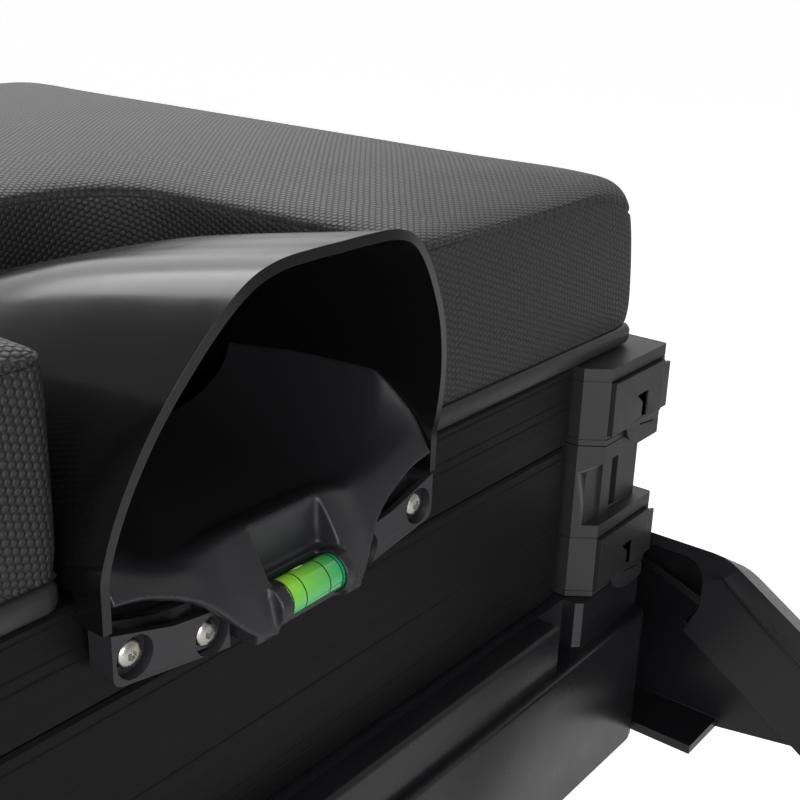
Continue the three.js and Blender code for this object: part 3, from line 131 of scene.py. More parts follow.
def spun(name, profile, steps):  # a closed turned shape round Z from (radius, height) points in millimetres
    bm = bmesh.new()
    verts = [bm.verts.new((r * mm, 0, z * mm)) for r, z in profile]
    edges = [bm.edges.new(pair) for pair in zip(verts, verts[1:])]
    bmesh.ops.spin(bm, geom=verts + edges, cent=(0, 0, 0), axis=(0, 0, 1), angle=math.tau, steps=steps,
                   use_merge=True)
    bmesh.ops.remove_doubles(bm, verts=bm.verts, dist=1e-6)
    bmesh.ops.recalc_face_normals(bm, faces=bm.faces)
    return newObject(name, bm)


def combine(piece, tool, operation):
    step = piece.modifiers.new(operation, "BOOLEAN")
    step.operation = operation
    step.solver = "EXACT"
    step.object = tool
    bakeModifiers(piece)
    bpy.data.objects.remove(tool)


def placed(piece, matrix):
    piece.data.transform(matrix)
    piece.data.update()
    return piece


def shadeByAngle(piece, degrees):
    for face in piece.data.polygons:
        face.use_smooth = True
    piece.data.set_sharp_from_angle(angle=math.radians(degrees))


def softenEdges(piece, width, angle, segments=2, miter="MITER_SHARP"):
    bevel = piece.modifiers.new("edges", "BEVEL")
    bevel.width = width * mm
    bevel.segments = segments
    bevel.limit_method = "ANGLE"
    bevel.angle_limit = math.radians(angle)
    bevel.miter_outer = miter


def treeOf(points):
    tree = kdtree.KDTree(len(points))
    for k, point in enumerate(points):
        tree.insert(point, k)
    tree.balance()
    return tree


def lerp(a, b, t):
    return a + (b - a) * t


def clamp(t):
    return min(max(t, 0), 1)


def smooth(t):
    t = clamp(t)
    return t * t * (3 - 2 * t)


# Vinyl: PVC-coated cloth, embossed with a honeycomb of small domes; satin, so it turns grey at grazing angles
# the gap colour is painted shade, laid into the hollows between domes and along the seam lines
vinyl = {"color": "#2b2b2d", "gap": "#121213", "roughness": 0.46, "dull": 0.18, "pitch": 2.2 * mm,
         "relief": 0.26 * mm, "dome": (0.2, 0.53), "grain": 0.25 * mm, "grainShare": 0.06,
         "line": (0.2 * mm, 0.45 * mm), "lineShare": -1.3, "rows": ((0, 1.0), (2.8 * mm, 0.45))}


def embossedVinyl(name, turn):
    material, tree, shader = newMaterial(name, {})
    uv = addNode(tree, "ShaderNodeUVMap", {"uv_map": "weave"})
    turned = addNode(tree, "ShaderNodeMapping", {}, {"Vector": uv.outputs[0], "Rotation": (0, 0, turn)})
    pitch = vinyl["pitch"]
    reach = (pitch * math.sqrt(3) / 2, pitch / 2, 1)  # half of a rectangular cell that holds two domes
    distances = []
    for shift in ((0, 0, 0), (reach[0], reach[1], 0)):
        moved = addNode(tree, "ShaderNodeVectorMath", {"operation": "ADD"}, {0: turned.outputs[0], 1: shift})
        cell = addNode(tree, "ShaderNodeVectorMath", {"operation": "WRAP"},
                       {0: moved.outputs[0], 1: reach, 2: tuple(-r for r in reach)})
        flat = addNode(tree, "ShaderNodeVectorMath", {"operation": "MULTIPLY"},
                       {0: cell.outputs[0], 1: (1, 1, 0)})
        length = addNode(tree, "ShaderNodeVectorMath", {"operation": "LENGTH"}, {0: flat.outputs[0]})
        distances.append(length.outputs["Value"])
    nearest = addNode(tree, "ShaderNodeMath", {"operation": "MINIMUM"}, {0: distances[0], 1: distances[1]})
    dome = addNode(tree, "ShaderNodeMapRange", {"interpolation_type": "SMOOTHERSTEP"},
                   {"Value": nearest.outputs[0], "From Min": pitch * vinyl["dome"][0],
                    "From Max": pitch * vinyl["dome"][1], "To Min": 1.0, "To Max": 0.0})
    # the seam presses a line into the vinyl, and a fainter one runs beside it over the turned edge; both are
    # bumped in and painted darker as shade in the crease
    seam = addNode(tree, "ShaderNodeUVMap", {"uv_map": "seam"})
    parts = addNode(tree, "ShaderNodeSeparateXYZ", {}, {0: seam.outputs[0]})
    rows = []
    for height, depth in vinyl["rows"]:
        offset = addNode(tree, "ShaderNodeMath", {"operation": "SUBTRACT"}, {0: parts.outputs[1], 1: height})
        away = addNode(tree, "ShaderNodeMath", {"operation": "ABSOLUTE"}, {0: offset.outputs[0]})
        line = addNode(tree, "ShaderNodeMapRange", {"interpolation_type": "SMOOTHSTEP"},
                       {"Value": away.outputs[0], "From Min": vinyl["line"][0], "From Max": vinyl["line"][1],
                        "To Min": depth, "To Max": 0.0})
        rows.append(line.outputs[0])
    both = addNode(tree, "ShaderNodeMath", {"operation": "MAXIMUM"}, {0: rows[0], 1: rows[1]})
    groove = addNode(tree, "ShaderNodeMath", {"operation": "MULTIPLY_ADD"},
                     {0: both.outputs[0], 1: vinyl["lineShare"], 2: dome.outputs[0]})
    grain = addNode(tree, "ShaderNodeTexNoise", {}, {"Vector": uv.outputs[0], "Scale": 1 / vinyl["grain"],
                                                     "Detail": 2.0, "Roughness": 0.5})
    fine = addNode(tree, "ShaderNodeMath", {"operation": "MULTIPLY_ADD"},
                   {0: grain.outputs["Fac"], 1: vinyl["grainShare"], 2: groove.outputs[0]})
    bump = addNode(tree, "ShaderNodeBump", {}, {"Height": fine.outputs[0], "Distance": vinyl["relief"],
                                                "Strength": 1.0})
    tree.links.new(bump.outputs[0], shader.inputs["Normal"])
    # painted shade: the gaps between domes and the seam lines are painted a little darker, and they are duller
    recessShade = addNode(tree, "ShaderNodeMapRange", {},
                   {"Value": groove.outputs[0], "From Min": -0.4, "From Max": 0.7})
    mixed = addNode(tree, "ShaderNodeMix", {"data_type": "RGBA"},
                    {"Factor": recessShade.outputs[0], "A": toLinear(vinyl["gap"]), "B": toLinear(vinyl["color"])})
    tree.links.new(mixed.outputs["Result"], shader.inputs["Base Color"])
    rough = addNode(tree, "ShaderNodeMapRange", {},
                    {"Value": groove.outputs[0], "From Min": 0.0, "From Max": 1.0,
                     "To Min": vinyl["roughness"] + vinyl["dull"], "To Max": vinyl["roughness"]})
    tree.links.new(rough.outputs[0], shader.inputs["Roughness"])
    return material


def addGrain(tree, shader, way, scale, detail, relief, strength=1.0):  # fine noise that lifts the surface
    noise = addNode(tree, "ShaderNodeTexNoise", {}, {"Vector": way, "Scale": scale, "Detail": detail})
    bump = addNode(tree, "ShaderNodeBump", {},
                   {"Height": noise.outputs["Fac"], "Distance": relief, "Strength": strength})
    tree.links.new(bump.outputs[0], shader.inputs["Normal"])
    return noise


def varyRoughness(tree, shader, noise, span, low, high):
    rough = addNode(tree, "ShaderNodeMapRange", {},
                    {"Value": noise.outputs["Fac"], "From Min": span[0], "From Max": span[1],
                     "To Min": low, "To Max": high})
    tree.links.new(rough.outputs[0], shader.inputs["Roughness"])


# Moulded plastics: ABS, polypropylene and glass-filled nylon, told apart by gloss and by the tool's grain
def mouldedPlastic(name, color, roughness, grain, relief):
    material, tree, shader = newMaterial(name, {"Base Color": toLinear(color), "IOR": 1.5})
    place = addNode(tree, "ShaderNodeTexCoord").outputs["Object"]
    spark = addGrain(tree, shader, place, 1 / grain, 3.0, relief, 0.6)
    spark.inputs["Roughness"].default_value = 0.6
    wear = addNode(tree, "ShaderNodeTexNoise", {},
                   {"Vector": place, "Scale": 45.0, "Detail": 5.0, "Roughness": 0.65})
    varyRoughness(tree, shader, wear, (0.3, 0.7), roughness - 0.04, roughness + 0.04)
    return material


# Anodised aluminium extrusion: black oxide over fine die lines that run along the panel
def anodisedPanel(name, stretch):
    material, tree, shader = newMaterial(name, {"Base Color": toLinear("#0e0e10"), "Specular IOR Level": 0.16})
    place = addNode(tree, "ShaderNodeTexCoord")
    along = addNode(tree, "ShaderNodeMapping", {}, {"Vector": place.outputs["Object"], "Scale": stretch})
    lines = addGrain(tree, shader, along.outputs[0], 1200.0, 2.0, 0.03 * mm)
    varyRoughness(tree, shader, lines, (0.3, 0.7), 0.44, 0.56)
    return material


# Stainless steel, cold headed and tumbled bright
def brightSteel(name):
    material, tree, shader = newMaterial(name, {"Base Color": toLinear("#c8c6c0"), "Metallic": 1.0})
    place = addNode(tree, "ShaderNodeTexCoord")
    scuff = addGrain(tree, shader, place.outputs["Object"], 900.0, 4.0, 0.01 * mm)
    varyRoughness(tree, shader, scuff, (0.35, 0.65), 0.18, 0.34)
    return material


# Dyed spirit in the level, with a painted glow, a painted highlight at the top left and painted shade to the
# right
def levelLiquid(name):
    material, tree, shader = newMaterial(
        name, {"Base Color": toLinear("#1fae54"), "Roughness": 0.08, "IOR": 1.45, "Emission Strength": 0.14,
               "Coat Weight": 1.0, "Coat Roughness": 0.03})
    place = addNode(tree, "ShaderNodeTexCoord")
    parts = addNode(tree, "ShaderNodeSeparateXYZ", {}, {0: place.outputs["Object"]})
    # painted highlight: the top left is mixed towards pale yellow green
    upper = addNode(tree, "ShaderNodeMapRange", {},
                    {"Value": parts.outputs["Z"], "From Min": 0.3685, "From Max": 0.3765})
    aside = addNode(tree, "ShaderNodeMapRange", {},
                    {"Value": parts.outputs["X"], "From Min": 0.011, "From Max": -0.011})
    share = addNode(tree, "ShaderNodeMath", {"operation": "MULTIPLY"},
                    {0: upper.outputs[0], 1: aside.outputs[0]})
    # painted shade: the colour turns teal towards the right end
    base = addNode(tree, "ShaderNodeMix", {"data_type": "RGBA"},
                   {"Factor": aside.outputs[0], "A": toLinear("#0f9c62"), "B": toLinear("#2bb04a")})
    paintedLightTint = addNode(tree, "ShaderNodeMix", {"data_type": "RGBA"},
                   {"Factor": share.outputs[0], "A": base.outputs["Result"], "B": toLinear("#a6e23a")})
    tree.links.new(paintedLightTint.outputs["Result"], shader.inputs["Base Color"])
    # painted glow in the same colour
    tree.links.new(paintedLightTint.outputs["Result"], shader.inputs["Emission Color"])
    return material


finish = {
    "top": embossedVinyl("embossed vinyl, top", math.radians(-9)),
    "band": embossedVinyl("embossed vinyl, band", math.radians(2.7)),
    "board": mouldedPlastic("polypropylene, satin", "#2b2b2d", 0.38, 0.5 * mm, 0.03 * mm),
    "hood": mouldedPlastic("ABS, polished tool", "#0d0d0e", 0.18, 6 * mm, 0.02 * mm),
    "cup": mouldedPlastic("ABS, satin tool", "#28282b", 0.36, 0.4 * mm, 0.03 * mm),
    "tray": mouldedPlastic("polystyrene, fine grain", "#1b1b1d", 0.5, 0.5 * mm, 0.04 * mm),
    "post": mouldedPlastic("glass-filled nylon, spark finish", "#262628", 0.46, 0.45 * mm, 0.05 * mm),
    "frame": mouldedPlastic("glass-filled nylon, dark", "#17171a", 0.3, 0.45 * mm, 0.05 * mm),
    "leg": anodisedPanel("anodised aluminium tube", (1, 1, 0.02)),
    "foot": mouldedPlastic("nylon, satin", "#242426", 0.45, 0.6 * mm, 0.05 * mm),
    "knob": mouldedPlastic("nylon, soft grain", "#1e1e20", 0.5, 0.6 * mm, 0.06 * mm),
    "panelX": anodisedPanel("anodised aluminium, lines along x", (0.01, 1, 1)),
    "panelY": anodisedPanel("anodised aluminium, lines along y", (1, 0.01, 1)),
    "steel": brightSteel("stainless steel"),
    "liquid": levelLiquid("level spirit"),
    "ring": mouldedPlastic("printed ring, dark green", "#0c3a12", 0.4, 0.5 * mm, 0.005 * mm),
    "bubble": mouldedPlastic("bubble, pale yellow green", "#d8f08a", 0.1, 0.5 * mm, 0.002 * mm),
}
print("finishes ready:", len(finish))


def dress(piece, key, body=None, slot=None, replaced=()):
    piece.data.materials.clear()
    for one in key if isinstance(key, (list, tuple)) else [key]:
        piece.data.materials.append(finish[one])
    if body:
        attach(piece, body)
    if replaced:
        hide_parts(*replaced)


# Cushion: sizes in metres from the middle of the seat, heights above the lip
cushion = {
    "side": 0.1992, "front": -0.1792, "mouth": 0.0637, "rear": 0.0622, "bottom": -0.0498,
    "outerRound": 0.012, "innerRound": 0.005, "backReach": 0.02, "notchReach": 0.042,
    "foot": 0.0003, "footInset": 0.0012, "footReach": 0.011, "seamHeight": 0.051, "edgeRise": 0.0042,
    "edgeReach": 0.011, "crown": 0.0035, "crownReach": 0.05, "pinch": 0.0003, "pinchReach": 0.006,
    "groove": 0.0004, "grooveReach": 0.0008, "cornerFall": 0.009, "cornerReach": 0.0155,
    "cornerInset": 0.0007, "insetReach": 0.015, "footRound": 0.005, "roundTo": 0.044,
    "step": 0.0075, "panel": 0.135, "panelStep": 0.011, "frontFade": 0.03, "mapReach": 0.03,
    "nearEdge": (0, 0.0009, 0.002, 0.0034, 0.0052, 0.0075, 0.0105, 0.015, 0.021),
    "wallRows": (0.0004, 0.0009, 0.0018, 0.0032, 0.0055, 0.009, 0.014, 0.02, 0.027, 0.034, 0.04, 0.045,
                 0.0485, 0.0507),
}
# height of the top over the front outer corners, where the vinyl is pulled down: millimetres in and up
cornerTop = [(0.7, 42), (1, 43.5), (2, 46.5), (3.2, 49), (5, 51.2), (8, 53.3), (11.6, 55), (19, 56.7),
             (33, 58.5), (60, 60.5)]
# cloth that the foam presses outwards: metres, and the shares of its movement that the skin takes
fill = {"voxel": 0.005, "held": 0.006, "cap": 0.005, "share": 0.2, "rise": 0.02, "neighbours": 5, "mass": 0.3,
        "quality": 5, "stiffness": 20, "bending": 0.6, "pressure": 4, "frames": 20}


def alongPath(points, share):  # a point on a polyline at a share of its length
    steps = np.linalg.norm(np.diff(points, axis=0), axis=1)
    reach = np.concatenate([[0], np.cumsum(steps)])
    at = share * reach[-1]
    return np.array([np.interp(at, reach, points[:, k]) for k in range(2)])


def arcPoints(centre, radius, start, end, count=12):
    angles = np.radians(np.linspace(start, end, count))
    return np.stack([centre[0] + radius * np.cos(angles), centre[1] + radius * np.sin(angles)], axis=1)


def bentCorner(before, corner, after, reach, count=24):
    before, corner, after = (np.array(p, float) for p in (before, corner, after))
    start = corner + (before - corner) / np.linalg.norm(before - corner) * reach
    end = corner + (after - corner) / np.linalg.norm(after - corner) * reach
    t = np.linspace(0, 1, count)[:, None]
    return (1 - t) ** 2 * start + 2 * t * (1 - t) * corner + t ** 2 * end


def cushionEdges():
    c = cushion
    outerCentre = (-c["side"] + c["outerRound"], c["front"] + c["outerRound"])
    innerCentre = (-c["mouth"] - c["innerRound"], c["front"] + c["innerRound"])
    outer = np.concatenate([
        arcPoints(outerCentre, c["outerRound"], 225, 180),
        bentCorner((-c["side"], outerCentre[1]), (-c["side"], -c["front"]), (0, -c["front"]), c["backReach"]),
        [[0, -c["front"]]]])
    inner = np.concatenate([
        arcPoints(innerCentre, c["innerRound"], -45, 0),
        bentCorner((-c["mouth"], innerCentre[1]), (-c["rear"], c["bottom"]), (0, c["bottom"]), c["notchReach"]),
        [[0, c["bottom"]]]])
    front = np.concatenate([
        arcPoints(innerCentre, c["innerRound"], -45, -90),
        arcPoints(outerCentre, c["outerRound"], 270, 225)])
    mirrored = [half * np.array([-1, 1]) for half in (outer, inner)]
    outer = np.concatenate([outer, mirrored[0][::-1][1:]])
    inner = np.concatenate([inner, mirrored[1][::-1][1:]])
    return outer, inner, front


def gradedShares(length, step, near):  # shares that crowd towards both ends
    between = length - 2 * near[-1]
    middle = between / max(round(between / step), 1)
    places = list(near)
    while places[-1] + middle < length - near[-1] - middle / 2:
        places.append(places[-1] + middle)
    places += [length - n for n in reversed(near)]
    return np.array(places) / length


def cushionPlan():
    outer, inner, front = cushionEdges()
    c = cushion
    length = np.linalg.norm(np.diff(outer, axis=0), axis=1).sum()
    along = gradedShares(length, c["step"], c["nearEdge"])
    across = gradedShares(c["panel"], c["panelStep"], c["nearEdge"])
    plan = np.zeros((len(along), len(across), 2))
    chord = front[0] + (front[-1] - front[0]) * np.linspace(0, 1, 2)[:, None]
    for i, u in enumerate(along):
        a, b = alongPath(inner, u), alongPath(outer, u)
        for j, v in enumerate(across):
            plan[i, j] = a + (b - a) * v
            for side, weight in ((1, 1 - u), (-1, u)):
                fade = max(0, 1 - (1 - weight) * length / c["frontFade"])
                bulge = alongPath(front, v) - alongPath(chord, v)
                plan[i, j] += bulge * np.array([side, 1]) * fade
    return plan


def cushionHeights(plan):
    ring = np.concatenate([plan[:, 0], plan[-1, 1:], plan[::-1, -1][1:], plan[0, ::-1][1:-1]])
    edge = np.roll(ring, -1, axis=0) - ring
    flat = plan.reshape(-1, 2)
    best = np.full(len(flat), 1.0)
    for a, e in zip(ring, edge):
        t = np.clip(((flat - a) @ e) / max(e @ e, 1e-12), 0, 1)
        best = np.minimum(best, np.linalg.norm(flat - a - t[:, None] * e, axis=1))
    return best.reshape(plan.shape[:2]), ring


def topProfile(d):  # height of the top panel above the seam at a distance from the edge
    c = cushion
    t = np.clip(d / c["edgeReach"], 0, 1)
    rolled = c["edgeRise"] * np.sqrt(1 - (1 - t) ** 2)
    crown = c["crown"] * (1 - np.exp(-np.maximum(d - c["edgeReach"] * 0.4, 0) / c["crownReach"]))
    return rolled + crown


def cornerShare(places):  # 1 at the front outer corners, falling to 0 along the edges and over the top
    c = cushion
    cut = c["outerRound"] * (1 - math.sqrt(0.5))
    away = np.hypot(np.abs(places[..., 0]) - c["side"] + cut, places[..., 1] - c["front"] - cut)
    return np.exp(-(away / c["cornerReach"]) ** 2)


def wallRows():  # each row's share of the seam's height, and how far inside the outline it lies
    c = cushion
    for below in c["wallRows"]:
        z = c["seamHeight"] - below
        inset = c["pinch"] * math.exp(-(below / c["pinchReach"]) ** 2)
        inset += c["groove"] * math.exp(-(below / c["grooveReach"]) ** 2)
        inset += c["footInset"] * max(0, 1 - z / c["footReach"]) ** 2
        yield z / c["seamHeight"], inset


def wallPlace(point, z):  # the outline's front outer corners are rounder at the seam than at the foot
    c = cushion
    full = c["outerRound"]
    x, y = abs(point[0]), point[1]
    if x <= c["side"] - full or y >= c["front"] + full:
        return point
    angle = math.atan2(y - c["front"] - full, x - c["side"] + full)
    r = min(full, lerp(c["footRound"], full, (z / c["roundTo"]) ** 2))
    moved = c["side"] - r + r * math.cos(angle), c["front"] + r + r * math.sin(angle)
    return np.array([math.copysign(moved[0], point[0]), moved[1]])


def simulateFill(base):  # cloth under pressure: where the skin's points are, and how far the foam moves each
    soft = base.copy()
    soft.data = base.data.copy()
    scene.collection.objects.link(soft)
    remesh = soft.modifiers.new("remesh", "REMESH")
    remesh.mode = "VOXEL"
    remesh.voxel_size = fill["voxel"]
    bakeModifiers(soft)
    held = soft.vertex_groups.new(name="held")
    start = [v.co.copy() for v in soft.data.vertices]
    held.add([k for k, co in enumerate(start) if co.z < seat["lipTop"] + fill["held"]], 1.0, "REPLACE")
    cloth = soft.modifiers.new("cloth", "CLOTH")
    settings = cloth.settings
    settings.quality = fill["quality"]
    settings.mass = fill["mass"]
    settings.tension_stiffness = settings.compression_stiffness = fill["stiffness"]
    settings.bending_stiffness = fill["bending"]
    settings.vertex_group_mass = held.name
    settings.use_pressure = True
    settings.uniform_pressure_force = fill["pressure"]
    settings.effector_weights.gravity = 0
    cloth.point_cache.frame_start = 1
    cloth.point_cache.frame_end = fill["frames"]
    for number in range(1, fill["frames"] + 1):
        scene.frame_set(number)
    graph = bpy.context.evaluated_depsgraph_get()
    filled = soft.evaluated_get(graph).to_mesh()
    moves = [filled.vertices[k].co - co for k, co in enumerate(start)]
    moves = [move * min(1, fill["cap"] / max(move.length, 1e-9)) for move in moves]
    scene.frame_set(1)
    bpy.data.objects.remove(soft)
    return treeOf(start), moves


def fillCushion(piece):
    tree, moves = simulateFill(piece)
    for v in piece.data.vertices:
        near = tree.find_n(v.co, fill["neighbours"])
        weights = [1 / (distance + 0.001) for _, _, distance in near]
        move = sum((moves[k] * w for (_, k, _), w in zip(near, weights)), Vector()) / sum(weights)
        if v.co.y < cushion["bottom"] + 0.004 and abs(v.co.x) < cushion["mouth"] + 0.006:
            move.x = move.y = 0  # the walls of the cut-out stay clear of the snug
        v.co += move * smooth((v.co.z - seat["lipTop"]) / fill["rise"]) * fill["share"]


def inwardWays(ring):  # each edge point's way into the cushion
    along = np.roll(ring, -1, axis=0) - np.roll(ring, 1, axis=0)
    ways = np.stack([-along[:, 1], along[:, 0]], axis=1)
    ways /= np.linalg.norm(ways, axis=1)[:, None]
    leftHalf = np.array([-0.13, 0])
    return -ways if ways[0] @ (leftHalf - ring[0]) < 0 else ways


def buildCushion():
    c = cushion
    plan = cushionPlan()
    depth, ring = cushionHeights(plan)
    inward = inwardWays(ring)
    lipTop = seat["lipTop"]
    countU, countV = plan.shape[0] - 1, plan.shape[1] - 1
    pulled = np.array(cornerTop) * mm
    inset = depth + c["cornerInset"] * np.maximum(1 - depth / c["insetReach"], 0)
    top = lerp(c["seamHeight"] + topProfile(depth), np.interp(inset, pulled[:, 0], pulled[:, 1]),
               cornerShare(plan))
    seamZ = c["seamHeight"] - c["cornerFall"] * cornerShare(ring)
    bm = bmesh.new()
    mappedGrid(bm, countU, countV, lambda i, j: Vector((*plan[i, j], lipTop + top[i, j])))
    faceUp(bm, next(iter(bm.faces)))
    tree = treeOf([(x, y, 0) for x, y in ring])
    rim = [e for e in bm.edges if e.is_boundary]
    place = {v: tree.find((v.co.x, v.co.y, 0))[1] for e in rim for v in e.verts}  # the ring point of each
    seam = list(place)

    def addRow(rim, pointAt):
        made = bmesh.ops.extrude_edge_only(bm, edges=rim)
        row = set(newVerts(made))
        for v in row:
            above = next(e.other_vert(v) for e in v.link_edges if e.other_vert(v) not in row)
            place[v] = place[above]
            v.co = Vector(pointAt(place[v]))
        return [g for g in made["geom"] if isinstance(g, bmesh.types.BMEdge) and g.is_boundary]

    for share, inset in wallRows():
        def wallPoint(k):
            z = seamZ[k] * share
            return *(wallPlace(ring[k], z) + inward[k] * inset), lipTop + z
        rim = addRow(rim, wallPoint)
    addRow(rim, lambda k: (*ring[k], lipTop + c["foot"]))
    for v in seam:  # the seam itself lies deepest
        k = place[v]
        deep = c["pinch"] + c["groove"] + c["cornerInset"] * cornerShare(ring[k])
        v.co = Vector((*(ring[k] + inward[k] * deep), lipTop + seamZ[k]))
    mappedGrid(bm, countU, countV, lambda i, j: Vector((*plan[i, j], lipTop + c["foot"])))
    bmesh.ops.remove_doubles(bm, verts=bm.verts, dist=1e-5)
    bmesh.ops.recalc_face_normals(bm, faces=bm.faces)
    return newObject("cushionSkin", bm), ring, inward, countU * countV


def paintCushion(piece, ring, inward, topFaces):
    # maps in metres: "weave" carries the emboss, "seam" runs along the seam and up from it
    c = cushion
    mesh = piece.data
    steps = np.linalg.norm(np.diff(np.concatenate([ring, ring[:1]]), axis=0), axis=1)
    run = np.concatenate([[0], np.cumsum(steps)])
    tree = treeOf([(x, y, 0) for x, y in ring])
    depths = np.linspace(0, c["mapReach"], 301)
    slope = np.concatenate([[0], np.cumsum(np.hypot(np.diff(depths), np.diff(topProfile(depths))))])
    weave = mesh.uv_layers.new(name="weave")
    seam = mesh.uv_layers.new(name="seam")
    nearest = []
    for v in mesh.vertices:
        k = tree.find((v.co.x, v.co.y, 0))[1]
        offset = np.array([v.co.x, v.co.y]) - ring[k]
        tangent = np.array([inward[k][1], -inward[k][0]])
        nearest.append((k, max(float(offset @ inward[k]), 0), run[k] + float(offset @ tangent)))
    seamZ = seat["lipTop"] + c["seamHeight"] - c["cornerFall"] * cornerShare(ring)
    for face in mesh.polygons:
        onTop = face.index < topFaces
        face.material_index = 0 if onTop else 1
        anchor = nearest[face.vertices[0]][2]
        for loop in face.loop_indices:
            v = mesh.vertices[mesh.loops[loop].vertex_index]
            k, depth, along = nearest[v.index]
            if along - anchor > run[-1] / 2:
                along -= run[-1]
            elif anchor - along > run[-1] / 2:
                along += run[-1]
            if onTop:
                reach = min(depth, c["mapReach"])
                climb = float(np.interp(reach, depths, slope))
                extra = float(slope[-1] - depths[-1]) - climb + reach
                weave.data[loop].uv = np.array([v.co.x, v.co.y]) - inward[k] * extra
                seam.data[loop].uv = (along, climb + depth - reach)
            else:
                weave.data[loop].uv = (along, v.co.z)
                seam.data[loop].uv = (along, min(v.co.z - seamZ[k], 0))


skin, *skinMap = buildCushion()
print("cushion skin:", len(skin.data.polygons), "faces")
fillCushion(skin)
print("cushion filled")
paintCushion(skin, *skinMap)
shadeByAngle(skin, 180)
soften = skin.modifiers.new("soften", "SUBSURF")
soften.levels = soften.render_levels = 1
soften.uv_smooth = "NONE"
dress(skin, ("top", "band"), "lid", "vinyl", ["seat_cushion"])
print("cushion ready")


# Snug, in millimetres: x from its middle, y from the front of the lip, z from the top of the lip
snug = {
    "halfWidth": 62.3, "legDrop": 12.6, "mouthY": -9, "mouthLean": 0.217, "mouthHeight": 70, "rearY": 124,
    "rearHeight": 33, "bow": 1.5, "wall": 2.6, "sideDrop": 5, "sideGap": 2.2, "leanShare": 0.5,
    "rimRound": 0.5, "around": 112, "along": 56,
}
notch = {"mouth": 64.5, "rear": 63, "depth": 131, "rearRadius": 42}
archShares = [(1, 0), (1, 0.06), (0.977, 0.2), (0.928, 0.357), (0.843, 0.536), (0.73, 0.7), (0.6, 0.85),
              (0.47, 0.95), (0.33, 0.992), (0.16, 1), (0, 1)]


def fromSnug(x, y, z):  # snug millimetres to the frame's metres
    return Vector((x * mm, y * mm - seat["halfDepth"], z * mm + seat["lipTop"]))


def splineThrough(points, count=600):  # evenly spaced points of a curve that passes through the given ones
    p = np.array([points[0]] + list(points) + [points[-1]], float)
    fine = []
    for k in range(1, len(p) - 2):
        for t in np.linspace(0, 1, 24, endpoint=False):
            a, b, c, d = p[k - 1], p[k], p[k + 1], p[k + 2]
            v0, v1 = (c - a) / 2, (d - b) / 2
            cubic, square = 2 * b - 2 * c + v0 + v1, -3 * b + 3 * c - 2 * v0 - v1
            fine.append(cubic * t ** 3 + square * t ** 2 + v0 * t + b)
    fine.append(p[-2])
    fine = np.array(fine)
    steps = np.concatenate([[0], np.cumsum(np.linalg.norm(np.diff(fine, axis=0), axis=1))])
    even = np.linspace(0, steps[-1], count)
    return np.stack([np.interp(even, steps, fine[:, k]) for k in range(2)], axis=1)


arch = splineThrough([(-x, z) for x, z in archShares] + [(x, z) for x, z in reversed(archShares[:-1])])


def notchHalfWidth(y):
    straight = lerp(notch["mouth"], notch["rear"], clamp(y / notch["depth"]))
    past = y - (notch["depth"] - notch["rearRadius"])
    if past <= 0:
        return straight
    return straight - notch["rearRadius"] + math.sqrt(max(notch["rearRadius"] ** 2 - past ** 2, 0))


def hoodHeight(v):
    return lerp(snug["mouthHeight"], snug["rearHeight"], v) + snug["bow"] * math.sin(math.pi * v)


def hoodPoint(across, v, drop):  # across runs 0 to 1 over the arch, and past it down the legs
    nominal = lerp(snug["mouthY"], snug["rearY"], v)
    height = hoodHeight(v)
    half = min(snug["halfWidth"], notchHalfWidth(nominal) - snug["sideGap"])
    x, z = arch[round(clamp(across) * (len(arch) - 1))]
    z = z * height - max(-across, across - 1, 0) * drop
    lean = snug["mouthLean"] * (1 - smooth(v / snug["leanShare"]))
    return fromSnug(x * half, nominal - lean * max(z, 0), z)


def buildHood():
    step = (1.1 - snug["mouthY"]) / (snug["rearY"] - snug["mouthY"])
    shares = [0, 0.004, step / 2, step, step + 0.002] + list(np.linspace(step + 0.004, 1, snug["along"]))
    drops = [snug["legDrop"] if v <= step else snug["sideDrop"] for v in shares]
    legs = 4
    around = snug["around"]

    def place(i, j):
        if i < legs:
            across = -(legs - i) / legs
        elif i > around + legs:
            across = 1 + (i - around - legs) / legs
        else:
            across = (i - legs) / around
        return hoodPoint(across, shares[j], drops[j])
    bm = bmesh.new()
    mappedGrid(bm, around + legs * 2, len(shares) - 1, place)
    faceUp(bm, max(bm.faces, key=lambda f: f.calc_center_median().z))
    bmesh.ops.solidify(bm, geom=bm.faces, thickness=snug["wall"] * mm)
    piece = newObject("snugHood", bm)
    softenEdges(piece, snug["rimRound"], 50)
    shadeByAngle(piece, 40)
    return piece


hood = buildHood()
dress(hood, "hood", "upper_module", "hood", ["snug_hood"])
print("hood ready:", len(hood.data.polygons), "faces")


# Cup: a trough in the hood whose front rolls down into an apron and a nose, smoothed as a mould leaves it
cup = {
    "halfWidth": 59.2, "floorZ": -7, "rimZ": 15.6, "rearRimZ": 10, "rearY": 72, "rimY": 13, "floorFrontY": 2,
    "lipY": -14, "lipZ": -25, "lipEndY": -9.5, "lipEndZ": -6, "sideRound": 32, "wall": 2.6, "flatShare": 0.4,
    "sideClearance": 0.5, "noseHalf": 19, "noseFade": 12, "noseFrom": 0.36, "noseBy": 0.56,
    "recessHalf": 13.4, "coreHalf": 20.5, "cheekWidth": 3.4, "cheekRadius": 6.2, "smoothing": 14,
    "voxel": 0.62 * mm,
}
cupStations = [0, 0.18, 0.36, 0.46, 0.56, 0.67, 0.78, 0.89, 1]
cupFrontShares = [(0, 0.02, 0.12, 0.02, 0), (0.15, 0.07, 0.31, 0.16, 0.1), (0.36, 0.18, 0.53, 0.36, 0.3),
                  (0.58, 0.38, 0.73, 0.56, 0.55), (0.8, 0.66, 0.9, 0.82, 0.8), (1, 1, 1, 1, 1)]
